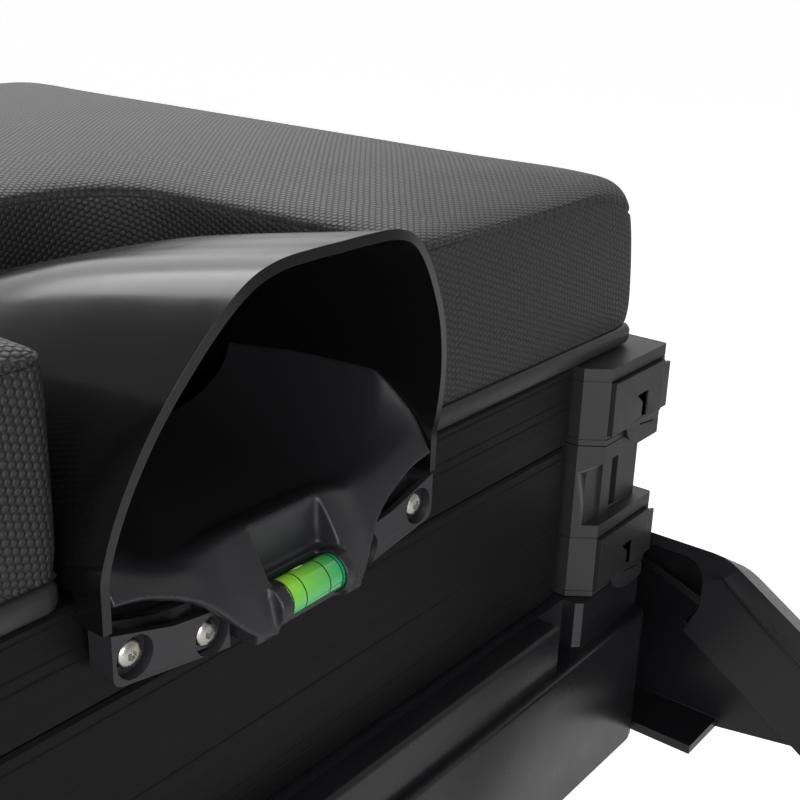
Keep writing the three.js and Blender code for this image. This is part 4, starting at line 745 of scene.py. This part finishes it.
cupSlopeShares = [(0, 0), (0.35, 0), (0.4, 0.18), (0.46, 0.34), (0.64, 0.68), (0.84, 0.95), (1, 1)]
nosePath = [(72, -7), (42.5, -7), (13, -7), (7, -6.8), (1, -5.3), (-5.2, -3.9), (-10, -10.5),
            (-14.4, -18), (-17.4, -30.4)]
corePath = [(-2.3, -7.6), (-5.6, -6), (-9, -11.2), (-13, -18), (-15.8, -27), (-16, -31.4), (-14, -32.6),
            (-2.3, -32.6)]
recessPath = [(-5.2, -3.2), (-5.8, -19), (-8, -19), (-8, -29.8), (-13, -29.8), (-13, -36), (-24, -36),
              (-24, 8), (-5.2, 8)]
vial = {"radius": 5.2, "length": 22, "y": -13.2, "z": -24, "edge": 0.6, "room": 0.3}


def hoodHalfWidth(y, z):  # inside which the cup has to stay
    v = clamp((y - snug["mouthY"]) / (snug["rearY"] - snug["mouthY"]))
    width = np.interp(z / hoodHeight(v), [s[1] for s in archShares[:9]], [s[0] for s in archShares[:9]])
    return width * min(snug["halfWidth"], notchHalfWidth(y) - snug["sideGap"])


def cupRows():
    c = cup
    middleY = lerp(c["rimY"], c["rearY"], 0.5)
    rows = [(c["rearY"], c["floorZ"], c["rearY"], c["rearRimZ"], 0),
            (middleY, c["floorZ"], middleY, lerp(c["rimZ"], c["rearRimZ"], 0.25), 0),
            (c["rimY"], c["floorZ"], c["rimY"], c["rimZ"], 0)]
    for a, b, d, e, slope in cupFrontShares:
        rows.append((lerp(c["floorFrontY"], c["lipY"], a), lerp(c["floorZ"], c["lipZ"], b),
                     lerp(c["rimY"], c["lipEndY"], d), lerp(c["rimZ"], c["lipEndZ"], e), slope))
    inset = snug["wall"] + c["sideClearance"]
    halves = [min(c["halfWidth"], hoodHalfWidth(row[2], max(row[3], 0)) - inset) for row in rows]
    return np.column_stack([np.array(rows), halves])


def cupSkin(countU, countV):
    c = cup
    rows = cupRows()
    nose = np.array(nosePath, float)
    skin = np.zeros((countU + 1, countV + 1, 3))
    slopes = np.array(cupSlopeShares)
    for j in range(countV + 1):
        v = j / countV
        floorY, floorZ, rimY, rimZ, slope, half = (np.interp(v, cupStations, column) for column in rows.T)
        noseY, noseZ = (np.interp(v, cupStations, column) for column in nose.T)
        for i in range(countU + 1):
            place = i / countU * 2 - 1
            across = abs(place)
            flat = (half - c["sideRound"]) / half
            angle = max((across - c["flatShare"]) / (1 - c["flatShare"]), 0) * math.pi / 2
            share = flat + (1 - flat) * math.sin(angle) if angle else across / c["flatShare"] * flat
            rise = lerp(1 - math.cos(angle), float(np.interp(share, slopes[:, 0], slopes[:, 1])), slope)
            x = math.copysign(share * half, place)
            weight = 1 - smooth((abs(x) - c["noseHalf"]) / c["noseFade"])
            weight *= smooth((v - c["noseFrom"]) / (c["noseBy"] - c["noseFrom"]))
            skin[i, j] = (x, lerp(lerp(floorY, rimY, rise), noseY, weight),
                          lerp(lerp(floorZ, rimZ, rise), noseZ, weight))
    for _ in range(c["smoothing"]):
        skin[1:-1] = (skin[:-2] + 2 * skin[1:-1] + skin[2:]) / 4
        skin[:, 1:-1] = (skin[:, :-2] + 2 * skin[:, 1:-1] + skin[:, 2:]) / 4
    return skin


def sweptX(name, path, half):  # a (y, z) outline in snug millimetres, swept to both sides
    return extruded(name, [fromSnug(-half, y, z) for y, z in path], (half * 2 * mm, 0, 0))


def rodX(name, radius, x0, x1):  # round the level's axis
    middle = Matrix.Translation(fromSnug((x0 + x1) / 2, vial["y"], vial["z"]))
    return rod(name, radius, x1 - x0, middle @ turnX, 48)


def buildCup():
    c = cup
    countU, countV = 96, 90
    skin = cupSkin(countU, countV)
    bm = bmesh.new()
    mappedGrid(bm, countU, countV, lambda i, j: fromSnug(*skin[i, j]))
    floorMiddle = fromSnug(0, 50, c["floorZ"])
    faceUp(bm, min(bm.faces, key=lambda f: (f.calc_center_median() - floorMiddle).length))
    bmesh.ops.solidify(bm, geom=bm.faces, thickness=c["wall"] * mm)
    piece = newObject("snugCup", bm)
    combine(piece, sweptX("core", corePath, c["coreHalf"]), "UNION")
    combine(piece, sweptX("recess", recessPath, c["recessHalf"]), "DIFFERENCE")
    for side in (-1, 1):
        ends = sorted((side * (c["recessHalf"] - c["cheekWidth"]), side * (c["recessHalf"] + 1)))
        combine(piece, rodX("cheek", c["cheekRadius"], *ends), "UNION")
    room = vial["length"] / 2 + vial["room"]
    combine(piece, rodX("seat", vial["radius"] + vial["room"], -room, room), "DIFFERENCE")
    even = piece.modifiers.new("even", "REMESH")
    even.mode = "VOXEL"
    even.voxel_size = c["voxel"]
    soften = piece.modifiers.new("soften", "SMOOTH")
    soften.factor = 0.5
    soften.iterations = 3
    bakeModifiers(piece)
    shadeByAngle(piece, 180)
    return piece


cupPiece = buildCup()
dress(cupPiece, "cup", "upper_module", "cup", ["snug_cup"])
print("cup ready:", len(cupPiece.data.polygons), "faces")


# Level: a clear vial with dyed spirit, four printed rings and a bubble that lies against its top
marks = {"rings": (4.6, 9.5), "width": 0.35, "proud": 0.04, "sunk": 0.2, "bubble": (1.5, 0.35, 2.6),
         "bubbleTilt": 52, "bubbleSunk": 0.12}


def buildLevel():
    half = vial["length"] / 2
    r, edge = vial["radius"], vial["edge"]
    rounded = [(r - edge + edge * math.sin(a), half - edge + edge * math.cos(a))
               for a in np.linspace(0, math.pi / 2, 5)]
    body = [(0, -half)] + [(x, -z) for x, z in rounded] + [(x, z) for x, z in reversed(rounded)] + [(0, half)]
    parts = [("levelSpirit", "liquid", spun("body", body, 64))]
    inner, outer, width = r - marks["sunk"], r + marks["proud"], marks["width"] / 2
    for at in (-marks["rings"][0], marks["rings"][0], -marks["rings"][1], marks["rings"][1]):
        band = [(inner, at - width), (outer, at - width), (outer, at + width), (inner, at + width)]
        parts.append(("levelRing", "ring", spun("ring", band + band[:1], 64)))
    bm = bmesh.new()
    tilt = Matrix.Rotation(math.radians(marks["bubbleTilt"]), 4, "Z")
    lifted = Matrix.Translation((0, (r - marks["bubbleSunk"]) * mm, 0))
    bmesh.ops.create_uvsphere(bm, u_segments=32, v_segments=16, radius=mm,
                              matrix=tilt @ lifted @ Matrix.Diagonal((*marks["bubble"], 1)))
    parts.append(("levelBubble", "bubble", newObject("bubble", bm)))
    for name, key, part in parts:
        placed(part, Matrix.Translation(fromSnug(0, vial["y"], vial["z"])) @ turnX)
        part.name = name
        shadeByAngle(part, 50)
        dress(part, key, "upper_module", "liquid", ["level_vial"])


buildLevel()

# Screws: M4 button heads, cold headed, with a hexagon socket
screw = {"head": 3.8, "height": 2.2, "crownFrom": 0.22, "shank": 2, "length": 15.4, "socket": 1.45,
         "socketDepth": 1.3, "edge": 0.12,
         "places": {"outer_left": (-53.9, -21.4), "inner_left": (-29.6, -26.8), "inner_right": (29.6, -26.8),
                    "outer_right": (53.9, -21.4)}}


def buildScrew(name, x, z):
    s = screw
    source = nodes["snug_screw_" + name]
    front = min((source.matrix_world @ v.co).y for v in source.data.vertices)  # as far out as the part's own
    dome = [(s["head"] * math.cos(a), s["height"] * lerp(s["crownFrom"], 1, math.sin(a)))
            for a in np.linspace(0, 1.24, 10)]
    top = dome[-1][1]
    shank = [(0, -s["length"]), (s["shank"], -s["length"]), (s["shank"], 0), (s["head"], 0)]
    piece = spun("screw_" + name, shank + dome + [(0, top)], 64)
    socket = rod("socket", s["socket"], s["socketDepth"] * 2, Matrix.Translation((0, 0, top * mm)), 6)
    combine(piece, socket, "DIFFERENCE")
    spot = fromSnug(x, 0, z)
    lie = Matrix.Rotation(math.radians(90), 4, "X")
    placed(piece, Matrix.Translation((spot.x, front + top * mm, spot.z)) @ lie)
    softenEdges(piece, s["edge"], 40)
    shadeByAngle(piece, 40)
    dress(piece, "steel", "upper_module", "steel", ["snug_screw_" + name])


for name, (x, z) in screw["places"].items():
    buildScrew(name, x, z)
print("level and screws ready")


# Rigid mouldings: a merged copy of the part's node with its edges rounded as a mould leaves them
edgeRounds = {"snug_bracket": 0.35, "seat_base": 0.5, "chassis_frame": 0.6, "side_hull_right": 0.7,
              "side_hull_left": 0.7}


def roundEdges(piece, width):
    softenEdges(piece, width, 32, miter="MITER_ARC")
    shadeByAngle(piece, 38)


def mergedCopy(node):
    bm = bmesh.new()
    bm.from_mesh(nodes[node].data)
    bmesh.ops.remove_doubles(bm, verts=bm.verts, dist=2e-5)
    bmesh.ops.dissolve_limit(bm, angle_limit=math.radians(0.6), verts=bm.verts, edges=bm.edges)
    return newObject(node + "_moulded", bm)


for name, key, body, slot in (("snug_bracket", "cup", "upper_module", "cup"),
                              ("seat_base", "board", "lid", "board"),
                              ("side_hull_right", "frame", "chassis", "frame"),
                              ("side_hull_left", "frame", "chassis", "frame")):
    moulding = mergedCopy(name)
    roundEdges(moulding, edgeRounds[name])
    dress(moulding, key, body, slot, [name])


# Corner posts and clips in millimetres: x outward and y inward from the lip's front right corner, z from the
# module's foot. Every other corner is a mirror image.
modules = {"upper": {"foot": 356.8, "height": 29.6}, "lower": {"foot": 294.4, "height": 62}}
post = {
    "arm": 38.5, "proud": 9.6, "slim": 4.5, "end": 1.5, "chamfer": 0.8, "nose": 0.8, "wingStart": 7,
    "wingEnd": 10, "wing": 12, "block": 30, "collar": 6.3, "taper": 4.2, "slot": (-16.3, -11.5),
    "slotDepth": 3, "rib": (-25.5, -18.5), "ribProud": 1.2, "round": 0.45, "line": 0.35, "lineWidth": 0.5,
    "lines": (24.6, 2.1),
}
clip = {
    "proud": 11.4, "plate": 1.9, "left": -31.7, "right": 6, "foot": 3.8, "top": 24.2, "thin": 1.3,
    "wingEnd": 10.3, "wing": (4.5, 22.6), "gap": 0.35, "back": -4.6, "barrel": 2.2, "barrelAt": (-9, 21.5),
    "barrelEnd": 0.1, "creaseHalf": 0.35, "creaseDepth": 0.8, "round": 0.4, "thinned": (-18, -3.5),
    "thinnedZ": (4.6, 17), "skin": 0.7, "crease": ((-10.2, 2.6), (0.6, 1.3)),
    "toe": [(-21, 4.4), (-21, 3.8), (-18, -1), (-15.5, -2.4), (-9.8, -4.7), (3, -4.6), (4.3, -4), (4.8, -2.8),
            (4.6, 0.4), (3.6, 1.8), (3.4, 4.4)],
    "hole": [(-5.9, 5.4), (-5.9, 15.4), (-14.4, 15.2), (-9.7, 11.4), (-9.8, 5.9)],
}
boss = {"side": 8, "front": 9.7, "length": 40.5, "chamfer": 2.4, "radius": 2, "z": (275, 294)}


def sweptY(name, outline, y0, y1):  # an (x, z) outline from y0 to y1
    return extruded(name, [(x * mm, y0 * mm, z * mm) for x, z in outline], (0, (y1 - y0) * mm, 0))


def sweptZ(name, outline, z0, z1):  # an (x, y) outline from z0 to z1
    return extruded(name, [(x * mm, y * mm, z0 * mm) for x, y in outline], (0, 0, (z1 - z0) * mm))


def block(name, x0, x1, y0, y1, z0, z1):
    return sweptZ(name, [(x0, y0), (x1, y0), (x1, y1), (x0, y1)], z0, z1)


def postOutline(proud):
    p = post
    run = (proud - p["end"]) * p["chamfer"]
    arm, start, end, far = p["arm"], p["wingStart"], p["wingEnd"], p["arm"] + p["wing"]
    return [(-arm, start), (-arm, -p["end"]), (run - arm, -proud), (proud - p["nose"], -proud),
            (proud, p["nose"] - proud), (proud, arm - run), (p["end"], arm), (-start, arm), (-start, far),
            (-end, far), (-end, end), (-far, end), (-far, start)]


def stacked(name, levels):  # outlines at their heights, joined by walls and capped
    bm = bmesh.new()
    rings = [[bm.verts.new(Vector((x, y, z)) * mm) for x, y in outline] for outline, z in levels]
    bm.faces.new(rings[0][::-1])
    bm.faces.new(rings[-1])
    loops = [[bm.edges.get(ends) or bm.edges.new(ends) for ends in zip(ring, ring[1:] + ring[:1])]
             for ring in rings]
    for lower, upper in zip(loops, loops[1:]):
        bmesh.ops.bridge_loops(bm, edges=lower + upper)
    bmesh.ops.remove_doubles(bm, verts=bm.verts, dist=1e-6)
    bmesh.ops.recalc_face_normals(bm, faces=bm.faces)
    return newObject(name, bm)


def partingPath(out):  # round the post's outer faces, a little way off them
    p = post
    arm, proud, end = p["arm"], p["proud"], p["end"]
    run = (proud - end) * p["chamfer"]
    return [(-arm - out, 4), (-arm - out, -end - out * 0.35), (run - arm - out * 0.45, -proud - out),
            (proud + out, -proud - out), (proud + out, arm - run + out * 0.45), (end + out * 0.35, arm + out),
            (-4, arm + out)]


def buildPost(height):
    p, c = post, clip
    full, slim = postOutline(p["proud"]), postOutline(p["slim"])
    collar = height - p["collar"]
    low = collar - p["taper"]
    if low > p["block"]:
        piece = stacked("post", [(full, 0), (full, p["block"]), (slim, p["block"]), (slim, low),
                                 (full, collar), (full, height)])
        face = -p["slim"]
        rib = block("rib", *p["rib"], face - p["ribProud"], 0, p["block"] - 1, collar)
        slot = block("slot", *p["slot"], face - 9, face + p["slotDepth"], p["block"] + 1, low)
        combine(piece, rib, "UNION")
        combine(piece, slot, "DIFFERENCE")
    else:
        piece = stacked("post", [(full, 0), (full, height)])
    gap = c["gap"]
    pocket = block("pocket", c["left"] - gap, c["right"] + gap, -20, c["back"], c["foot"] - gap, c["top"] + gap)
    combine(piece, pocket, "DIFFERENCE")
    for z in p["lines"]:  # fine parting lines left by the tool's inserts
        band = partingPath(1) + partingPath(-p["line"])[::-1]
        combine(piece, sweptZ("line", band, z, z + p["lineWidth"]), "DIFFERENCE")
    return piece


def buildClip():
    c = clip
    front, back = -c["proud"], c["plate"] - c["proud"]
    thin = front + c["thin"]
    left, right, half = c["left"], c["right"], c["creaseHalf"]
    piece = sweptY("clip", [(left, c["foot"]), (right, c["foot"]), (right, c["top"]), (left, c["top"])],
                   front, back)
    combine(piece, sweptY("toe", c["toe"], front, thin), "UNION")
    combine(piece, block("wing", right - 1, c["wingEnd"], front, thin, *c["wing"]), "UNION")
    middle = Vector(((left + right) / 2, *c["barrelAt"])) * mm
    reach = right - left - 2 * c["barrelEnd"]
    barrel = rod("barrel", c["barrel"], reach, Matrix.Translation(middle) @ turnX, 32)
    combine(piece, barrel, "UNION")
    thinned = block("thinned", *c["thinned"], front + c["skin"], back + 1, *c["thinnedZ"])
    combine(piece, thinned, "DIFFERENCE")
    combine(piece, sweptY("hole", c["hole"], front - 1, back + 1), "DIFFERENCE")
    (x0, z0), (x1, z1) = c["crease"]
    crease = [(x0, z0 - half), (x1, z1 - half), (x1, z1 + half), (x0, z0 + half)]
    combine(piece, sweptY("crease", crease, front - 1, front + c["creaseDepth"]), "DIFFERENCE")
    return piece


def atCorner(source, name, corner, z):
    sx, sy = cornerSides[corner]
    piece = source.copy()
    piece.name = name
    piece.data = source.data.copy()
    scene.collection.objects.link(piece)
    place = Matrix.Translation((sx * seat["halfWidth"], sy * seat["halfDepth"], z * mm))
    piece.data.transform(place @ Matrix.Diagonal((sx, -sy, 1, 1)))
    if sx == sy:
        piece.data.flip_normals()
    return piece


clipMaster = buildClip()
for module, sizes in modules.items():
    postMaster = buildPost(sizes["height"])
    for corner in cornerSides:
        piece = atCorner(postMaster, module + "Post_" + corner, corner, sizes["foot"])
        roundEdges(piece, post["round"])
        dress(piece, "post", module + "_module", "post", [module + "_post_" + corner])
        piece = atCorner(clipMaster, module + "Clip_" + corner, corner, sizes["foot"])
        roundEdges(piece, clip["round"])
        dress(piece, "post", module + "_clip_" + corner, "post", [module + "_clip_" + corner])
    bpy.data.objects.remove(postMaster)
bpy.data.objects.remove(clipMaster)


# Module panels: flat extrusions with a few shallow die lines, softened edges and a ledge for the floor
panel = {"inset": 1.5, "back": 6.5, "ledge": 12.5, "ledgeHeight": 2, "edge": 1.0, "endGap": 43,
         "ledgeInset": 9, "lineHalf": 0.45, "lineDepth": 0.22,
         "lines": {"upper": (14.9, 18.4, 26.9), "lower": (8.5, 12, 29.9, 57.8)}}


def buildPanel(module, side, quarter):  # quarter turns from the front
    p = panel
    front, back, height = p["inset"], p["back"], modules[module]["height"]
    reach, half = seat["halfDepth"], seat["halfWidth"]
    if quarter % 2:
        reach, half = half, reach
    length = half / mm - p["endGap"]
    outline = [(back, 0), (back, height), (front + p["edge"], height), (front, height - p["edge"])]
    for z in reversed(p["lines"][module]):
        outline += [(front, z + p["lineHalf"]), (front + p["lineDepth"], z), (front, z - p["lineHalf"])]
    outline += [(front, p["edge"]), (front + p["edge"], 0)]
    piece = extruded(module + "Panel_" + side, [Vector((-length, y, z)) * mm for y, z in outline],
                     (2 * length * mm, 0, 0))
    inner = length - p["ledgeInset"]
    combine(piece, block("ledge", -inner, inner, back - 1, p["ledge"], 0.1, p["ledgeHeight"]), "UNION")
    turn = Matrix.Rotation(quarter * math.pi / 2, 4, "Z")
    placed(piece, turn @ Matrix.Translation((0, -reach, modules[module]["foot"] * mm)))
    look = "panelY" if quarter % 2 else "panelX"
    dress(piece, look, module + "_module", "panel", [module + "_panel_" + side])


for module in modules:
    for quarter, side in enumerate(("front", "right", "back", "left")):
        buildPanel(module, side, quarter)


def buildFrame():  # the part's frame with slimmer bosses under the posts
    b = boss
    low, high = b["z"]
    side, front, length, cut, radius = b["side"], b["front"], b["length"], b["chamfer"], b["radius"]
    piece = mergedCopy("chassis_frame")
    outline = [(-length, 1), (-length, cut - front), (cut - length, -front), (side - radius, -front),
               (side, radius - front), (side, length - cut), (side - cut, length), (-1, length), (-1, 1)]
    trim = sweptZ("trim", [(-42, -2), (-42, -13), (9, -13), (9, 42), (0, 42), (0, -2)], low, high + 1)
    combine(trim, sweptZ("kept", outline, low - 1, high + 2), "DIFFERENCE")
    for corner in cornerSides:
        combine(piece, atCorner(trim, "trim_" + corner, corner, 0), "DIFFERENCE")
    bpy.data.objects.remove(trim)
    roundEdges(piece, edgeRounds["chassis_frame"])
    dress(piece, "frame", "chassis", "frame", ["chassis_frame"])


buildFrame()
print("mouldings ready")


# Legs: drawn tubes with a plug at the top, on swivel feet, each held by a lobed clamp knob
leg = {"x": 226, "y": 286, "radius": 15, "bore": 13, "bottom": 24, "top": 302.8, "boreDepth": 60, "plug": 2}
foot = {"radius": 32, "thickness": 6, "edge": 2, "neck": 7, "ball": 12.6, "ballZ": 34, "round": 0.6,
        "slope": ((2, 1), (1.25, 1.4), (1, 2.4))}
knob = {"radius": 13, "lobe": 2, "lobes": 6, "inner": 248.1, "outer": 266.1, "z": 251.8, "stud": 4,
        "studFrom": 241.7, "round": 2, "dish": (3, 0.8)}


def buildLeg(corner, sx, sy):
    r, b, top, bottom, plug = (leg[key] for key in ("radius", "bore", "top", "bottom", "plug"))
    bored = bottom + leg["boreDepth"]
    rounded = [(r - plug + plug * math.cos(a), top - plug + plug * math.sin(a))
               for a in np.linspace(0, math.pi / 2, 6)]
    profile = [(0, bored), (b, bored), (b, bottom), (r, bottom)] + rounded + [(0, top)]
    tube = spun("legTube_" + corner, profile, 72)
    shadeByAngle(tube, 30)
    dress(tube, "leg", "leg_" + corner, "leg", ["leg_" + corner])
    wide, thick, edge, neck, ball, ballZ = (foot[key] for key in ("radius", "thickness", "edge", "neck", "ball",
                                                                  "ballZ"))
    swivel = [(ball * math.sin(a), ballZ - ball * math.cos(a))
              for a in np.linspace(math.asin(neck / ball), math.pi, 16)][:-1]
    sole = [(0, 0), (wide - edge, 0), (wide, edge), (wide, thick - edge), (wide - edge, thick)]
    sole += [(neck * out, thick + edge * up) for out, up in foot["slope"]]
    disc = spun("footDisc_" + corner, sole + swivel + [(0, ballZ + ball)], 72)
    softenEdges(disc, foot["round"], 30, segments=3)
    shadeByAngle(disc, 30)
    dress(disc, "foot", "foot_" + corner, "foot", ["foot_" + corner])
    for piece in (tube, disc):
        placed(piece, Matrix.Translation((sx * leg["x"] * mm, sy * leg["y"] * mm, 0)))


def buildKnob(corner, sx, sy):
    k = knob
    bm = bmesh.new()
    made = bmesh.ops.create_circle(bm, cap_ends=True, segments=96, radius=1)
    for vert in made["verts"]:
        angle = math.atan2(vert.co.y, vert.co.x)
        r = k["radius"] - k["lobe"] * (1 + math.cos(angle * k["lobes"])) / 2
        vert.co = Vector((math.cos(angle) * r, math.sin(angle) * r, k["inner"])) * mm
    lifted = bmesh.ops.extrude_face_region(bm, geom=bm.faces[:])
    bmesh.ops.translate(bm, verts=newVerts(lifted), vec=(0, 0, (k["outer"] - k["inner"]) * mm))
    bmesh.ops.recalc_face_normals(bm, faces=bm.faces)
    caps = [e for f in bm.faces if len(f.verts) > 4 for e in f.edges]
    bmesh.ops.bevel(bm, geom=caps, offset=k["round"] * mm, segments=3, profile=0.5, affect="EDGES",
                    material=-1)
    outer = max((f for f in bm.faces if len(f.verts) > 4), key=lambda f: f.calc_center_median().z)
    inset, depth = k["dish"]
    bmesh.ops.inset_region(bm, faces=[outer], thickness=inset * mm, depth=-depth * mm)
    piece = newObject("clampKnob_" + corner, bm)
    span = k["inner"] + 1 - k["studFrom"]
    middle = Matrix.Translation((0, 0, (k["studFrom"] + span / 2) * mm))
    combine(piece, rod("stud", k["stud"], span, middle, 32), "UNION")
    aside = Matrix.Rotation(math.radians(90 * sx), 4, "Y")
    placed(piece, Matrix.Translation((0, sy * leg["y"] * mm, k["z"] * mm)) @ aside)
    shadeByAngle(piece, 35)
    dress(piece, "knob", "knob_" + corner, "knob", ["leg_knob_" + corner])


for corner, sides in cornerSides.items():
    buildLeg(corner, *sides)
    buildKnob(corner, *sides)
print("legs ready")


# Nodes whose shape is right keep it and take their finish here
for name, node in nodes.items():
    if name.endswith("_floor"):
        dress(node, "tray")
    elif name.startswith("lid_hinge"):
        dress(node, "steel")
print("nodes dressed")


# Stage: pale floor, white surroundings and soft studio lamps
stage = {
    "floor": "#dedede", "floorSize": 25, "lift": 0.75, "dimLift": 0.15, "world": 0.3, "mirrorLow": 0.28,
    "mirrorWay": (0.79, 0.61, 0.1), "mirrorFrom": 0.35, "mirrorTo": 0.95,
    "lamps": {
        "overhead": {"place": (0.7, 1.3, 1.7), "target": (0, 0, 0.4), "size": (1.8, 1.2), "power": 18.5},
        "left": {"place": (-1.9, -0.5, 0.9), "target": (0, 0, 0.35), "size": (1.2, 1.2), "power": 13.0},
        "front": {"place": (-0.9, -1.8, 0.8), "target": (0, -0.1, 0.3), "size": (1.2, 0.9), "power": 18.0},
    },
}
white = (1, 1, 1, 1)


def seenStraight(tree):  # which rays look at the background itself, and which see it in a mirror
    path = addNode(tree, "ShaderNodeLightPath")
    watched = addNode(tree, "ShaderNodeMath", {"operation": "MAXIMUM"},
                      {0: path.outputs["Is Camera Ray"], 1: path.outputs["Is Transmission Ray"]})
    return watched.outputs[0], path.outputs["Is Glossy Ray"]


def buildFloor():  # seen lifted towards white, and less so in mirrors, while the object's shadow stays
    bm = bmesh.new()
    bmesh.ops.create_grid(bm, x_segments=1, y_segments=1, size=stage["floorSize"])
    floor = newObject("floor", bm)
    material, tree, shader = newMaterial("pale floor", {"Base Color": toLinear(stage["floor"]),
                                                        "Roughness": 0.9, "Emission Color": white})
    floor.data.materials.append(material)
    straight, mirrored = seenStraight(tree)
    glow = addNode(tree, "ShaderNodeMath", {"operation": "MULTIPLY"}, {0: straight, 1: stage["lift"]})
    glow = addNode(tree, "ShaderNodeMath", {"operation": "MULTIPLY_ADD"},
                   {0: mirrored, 1: stage["dimLift"], 2: glow.outputs[0]})
    tree.links.new(glow.outputs[0], shader.inputs["Emission Strength"])


def buildWorld():  # mirrors see the white backdrop behind the object and a dimmer room in front of it
    world = bpy.data.worlds.new("studio")
    scene.world = world
    world.use_nodes = True
    tree = world.node_tree
    straight, mirrored = seenStraight(tree)
    way = addNode(tree, "ShaderNodeTexCoord")
    facing = addNode(tree, "ShaderNodeVectorMath", {"operation": "DOT_PRODUCT"},
                     {0: way.outputs["Generated"], 1: stage["mirrorWay"]})
    glare = addNode(tree, "ShaderNodeMapRange", {"interpolation_type": "SMOOTHSTEP"},
                    {"Value": facing.outputs["Value"], "From Min": stage["mirrorFrom"],
                     "From Max": stage["mirrorTo"], "To Min": stage["mirrorLow"], "To Max": 1.0})
    room = tree.nodes["Background"]
    room.inputs["Color"].default_value = white
    room.inputs["Strength"].default_value = stage["world"]
    seen = addNode(tree, "ShaderNodeBackground", {}, {"Color": white, "Strength": 1.0})
    mirror = addNode(tree, "ShaderNodeBackground", {}, {"Color": white, "Strength": glare.outputs[0]})
    lit = addNode(tree, "ShaderNodeMixShader", {}, {"Fac": mirrored, 1: room.outputs[0], 2: mirror.outputs[0]})
    shown = addNode(tree, "ShaderNodeMixShader", {}, {"Fac": straight, 1: lit.outputs[0], 2: seen.outputs[0]})
    tree.links.new(shown.outputs[0], tree.nodes["World Output"].inputs["Surface"])


def addLamp(name, place, target, size, power):
    data = bpy.data.lights.new(name, "AREA")
    data.shape = "RECTANGLE"
    data.size, data.size_y = size
    data.energy = power
    lamp = bpy.data.objects.new(name, data)
    scene.collection.objects.link(lamp)
    aim = (Vector(target) - Vector(place)).to_track_quat("-Z", "Y")
    lamp.matrix_world = Matrix.Translation(place) @ aim.to_matrix().to_4x4()


buildFloor()
buildWorld()
for name, lamp in stage["lamps"].items():
    addLamp(name, **lamp)
print("stage ready")


# Camera: place, turn and lens as solved from the photograph's edges
view = {
    "place": (-0.2187, -0.3899, 0.5352), "right": (0.61663674, -0.78662478, 0.03131421),
    "down": (-0.2619405, -0.24252123, -0.93411489), "ahead": (0.74239229, 0.5678071, -0.35559639),
    "focal": 1272.2, "frame": 800, "sensor": 36,
}
cameraData = bpy.data.cameras.new("camera")
cameraData.sensor_width = view["sensor"]
cameraData.lens = view["focal"] / view["frame"] * view["sensor"]
cameraData.clip_start = 0.01
camera = bpy.data.objects.new("camera", cameraData)
scene.collection.objects.link(camera)
turn = Matrix((Vector(view["right"]), -Vector(view["down"]), -Vector(view["ahead"]))).transposed().to_4x4()
camera.matrix_world = Matrix.Translation(view["place"]) @ turn
scene.camera = camera
scene.view_settings.view_transform = "Standard"
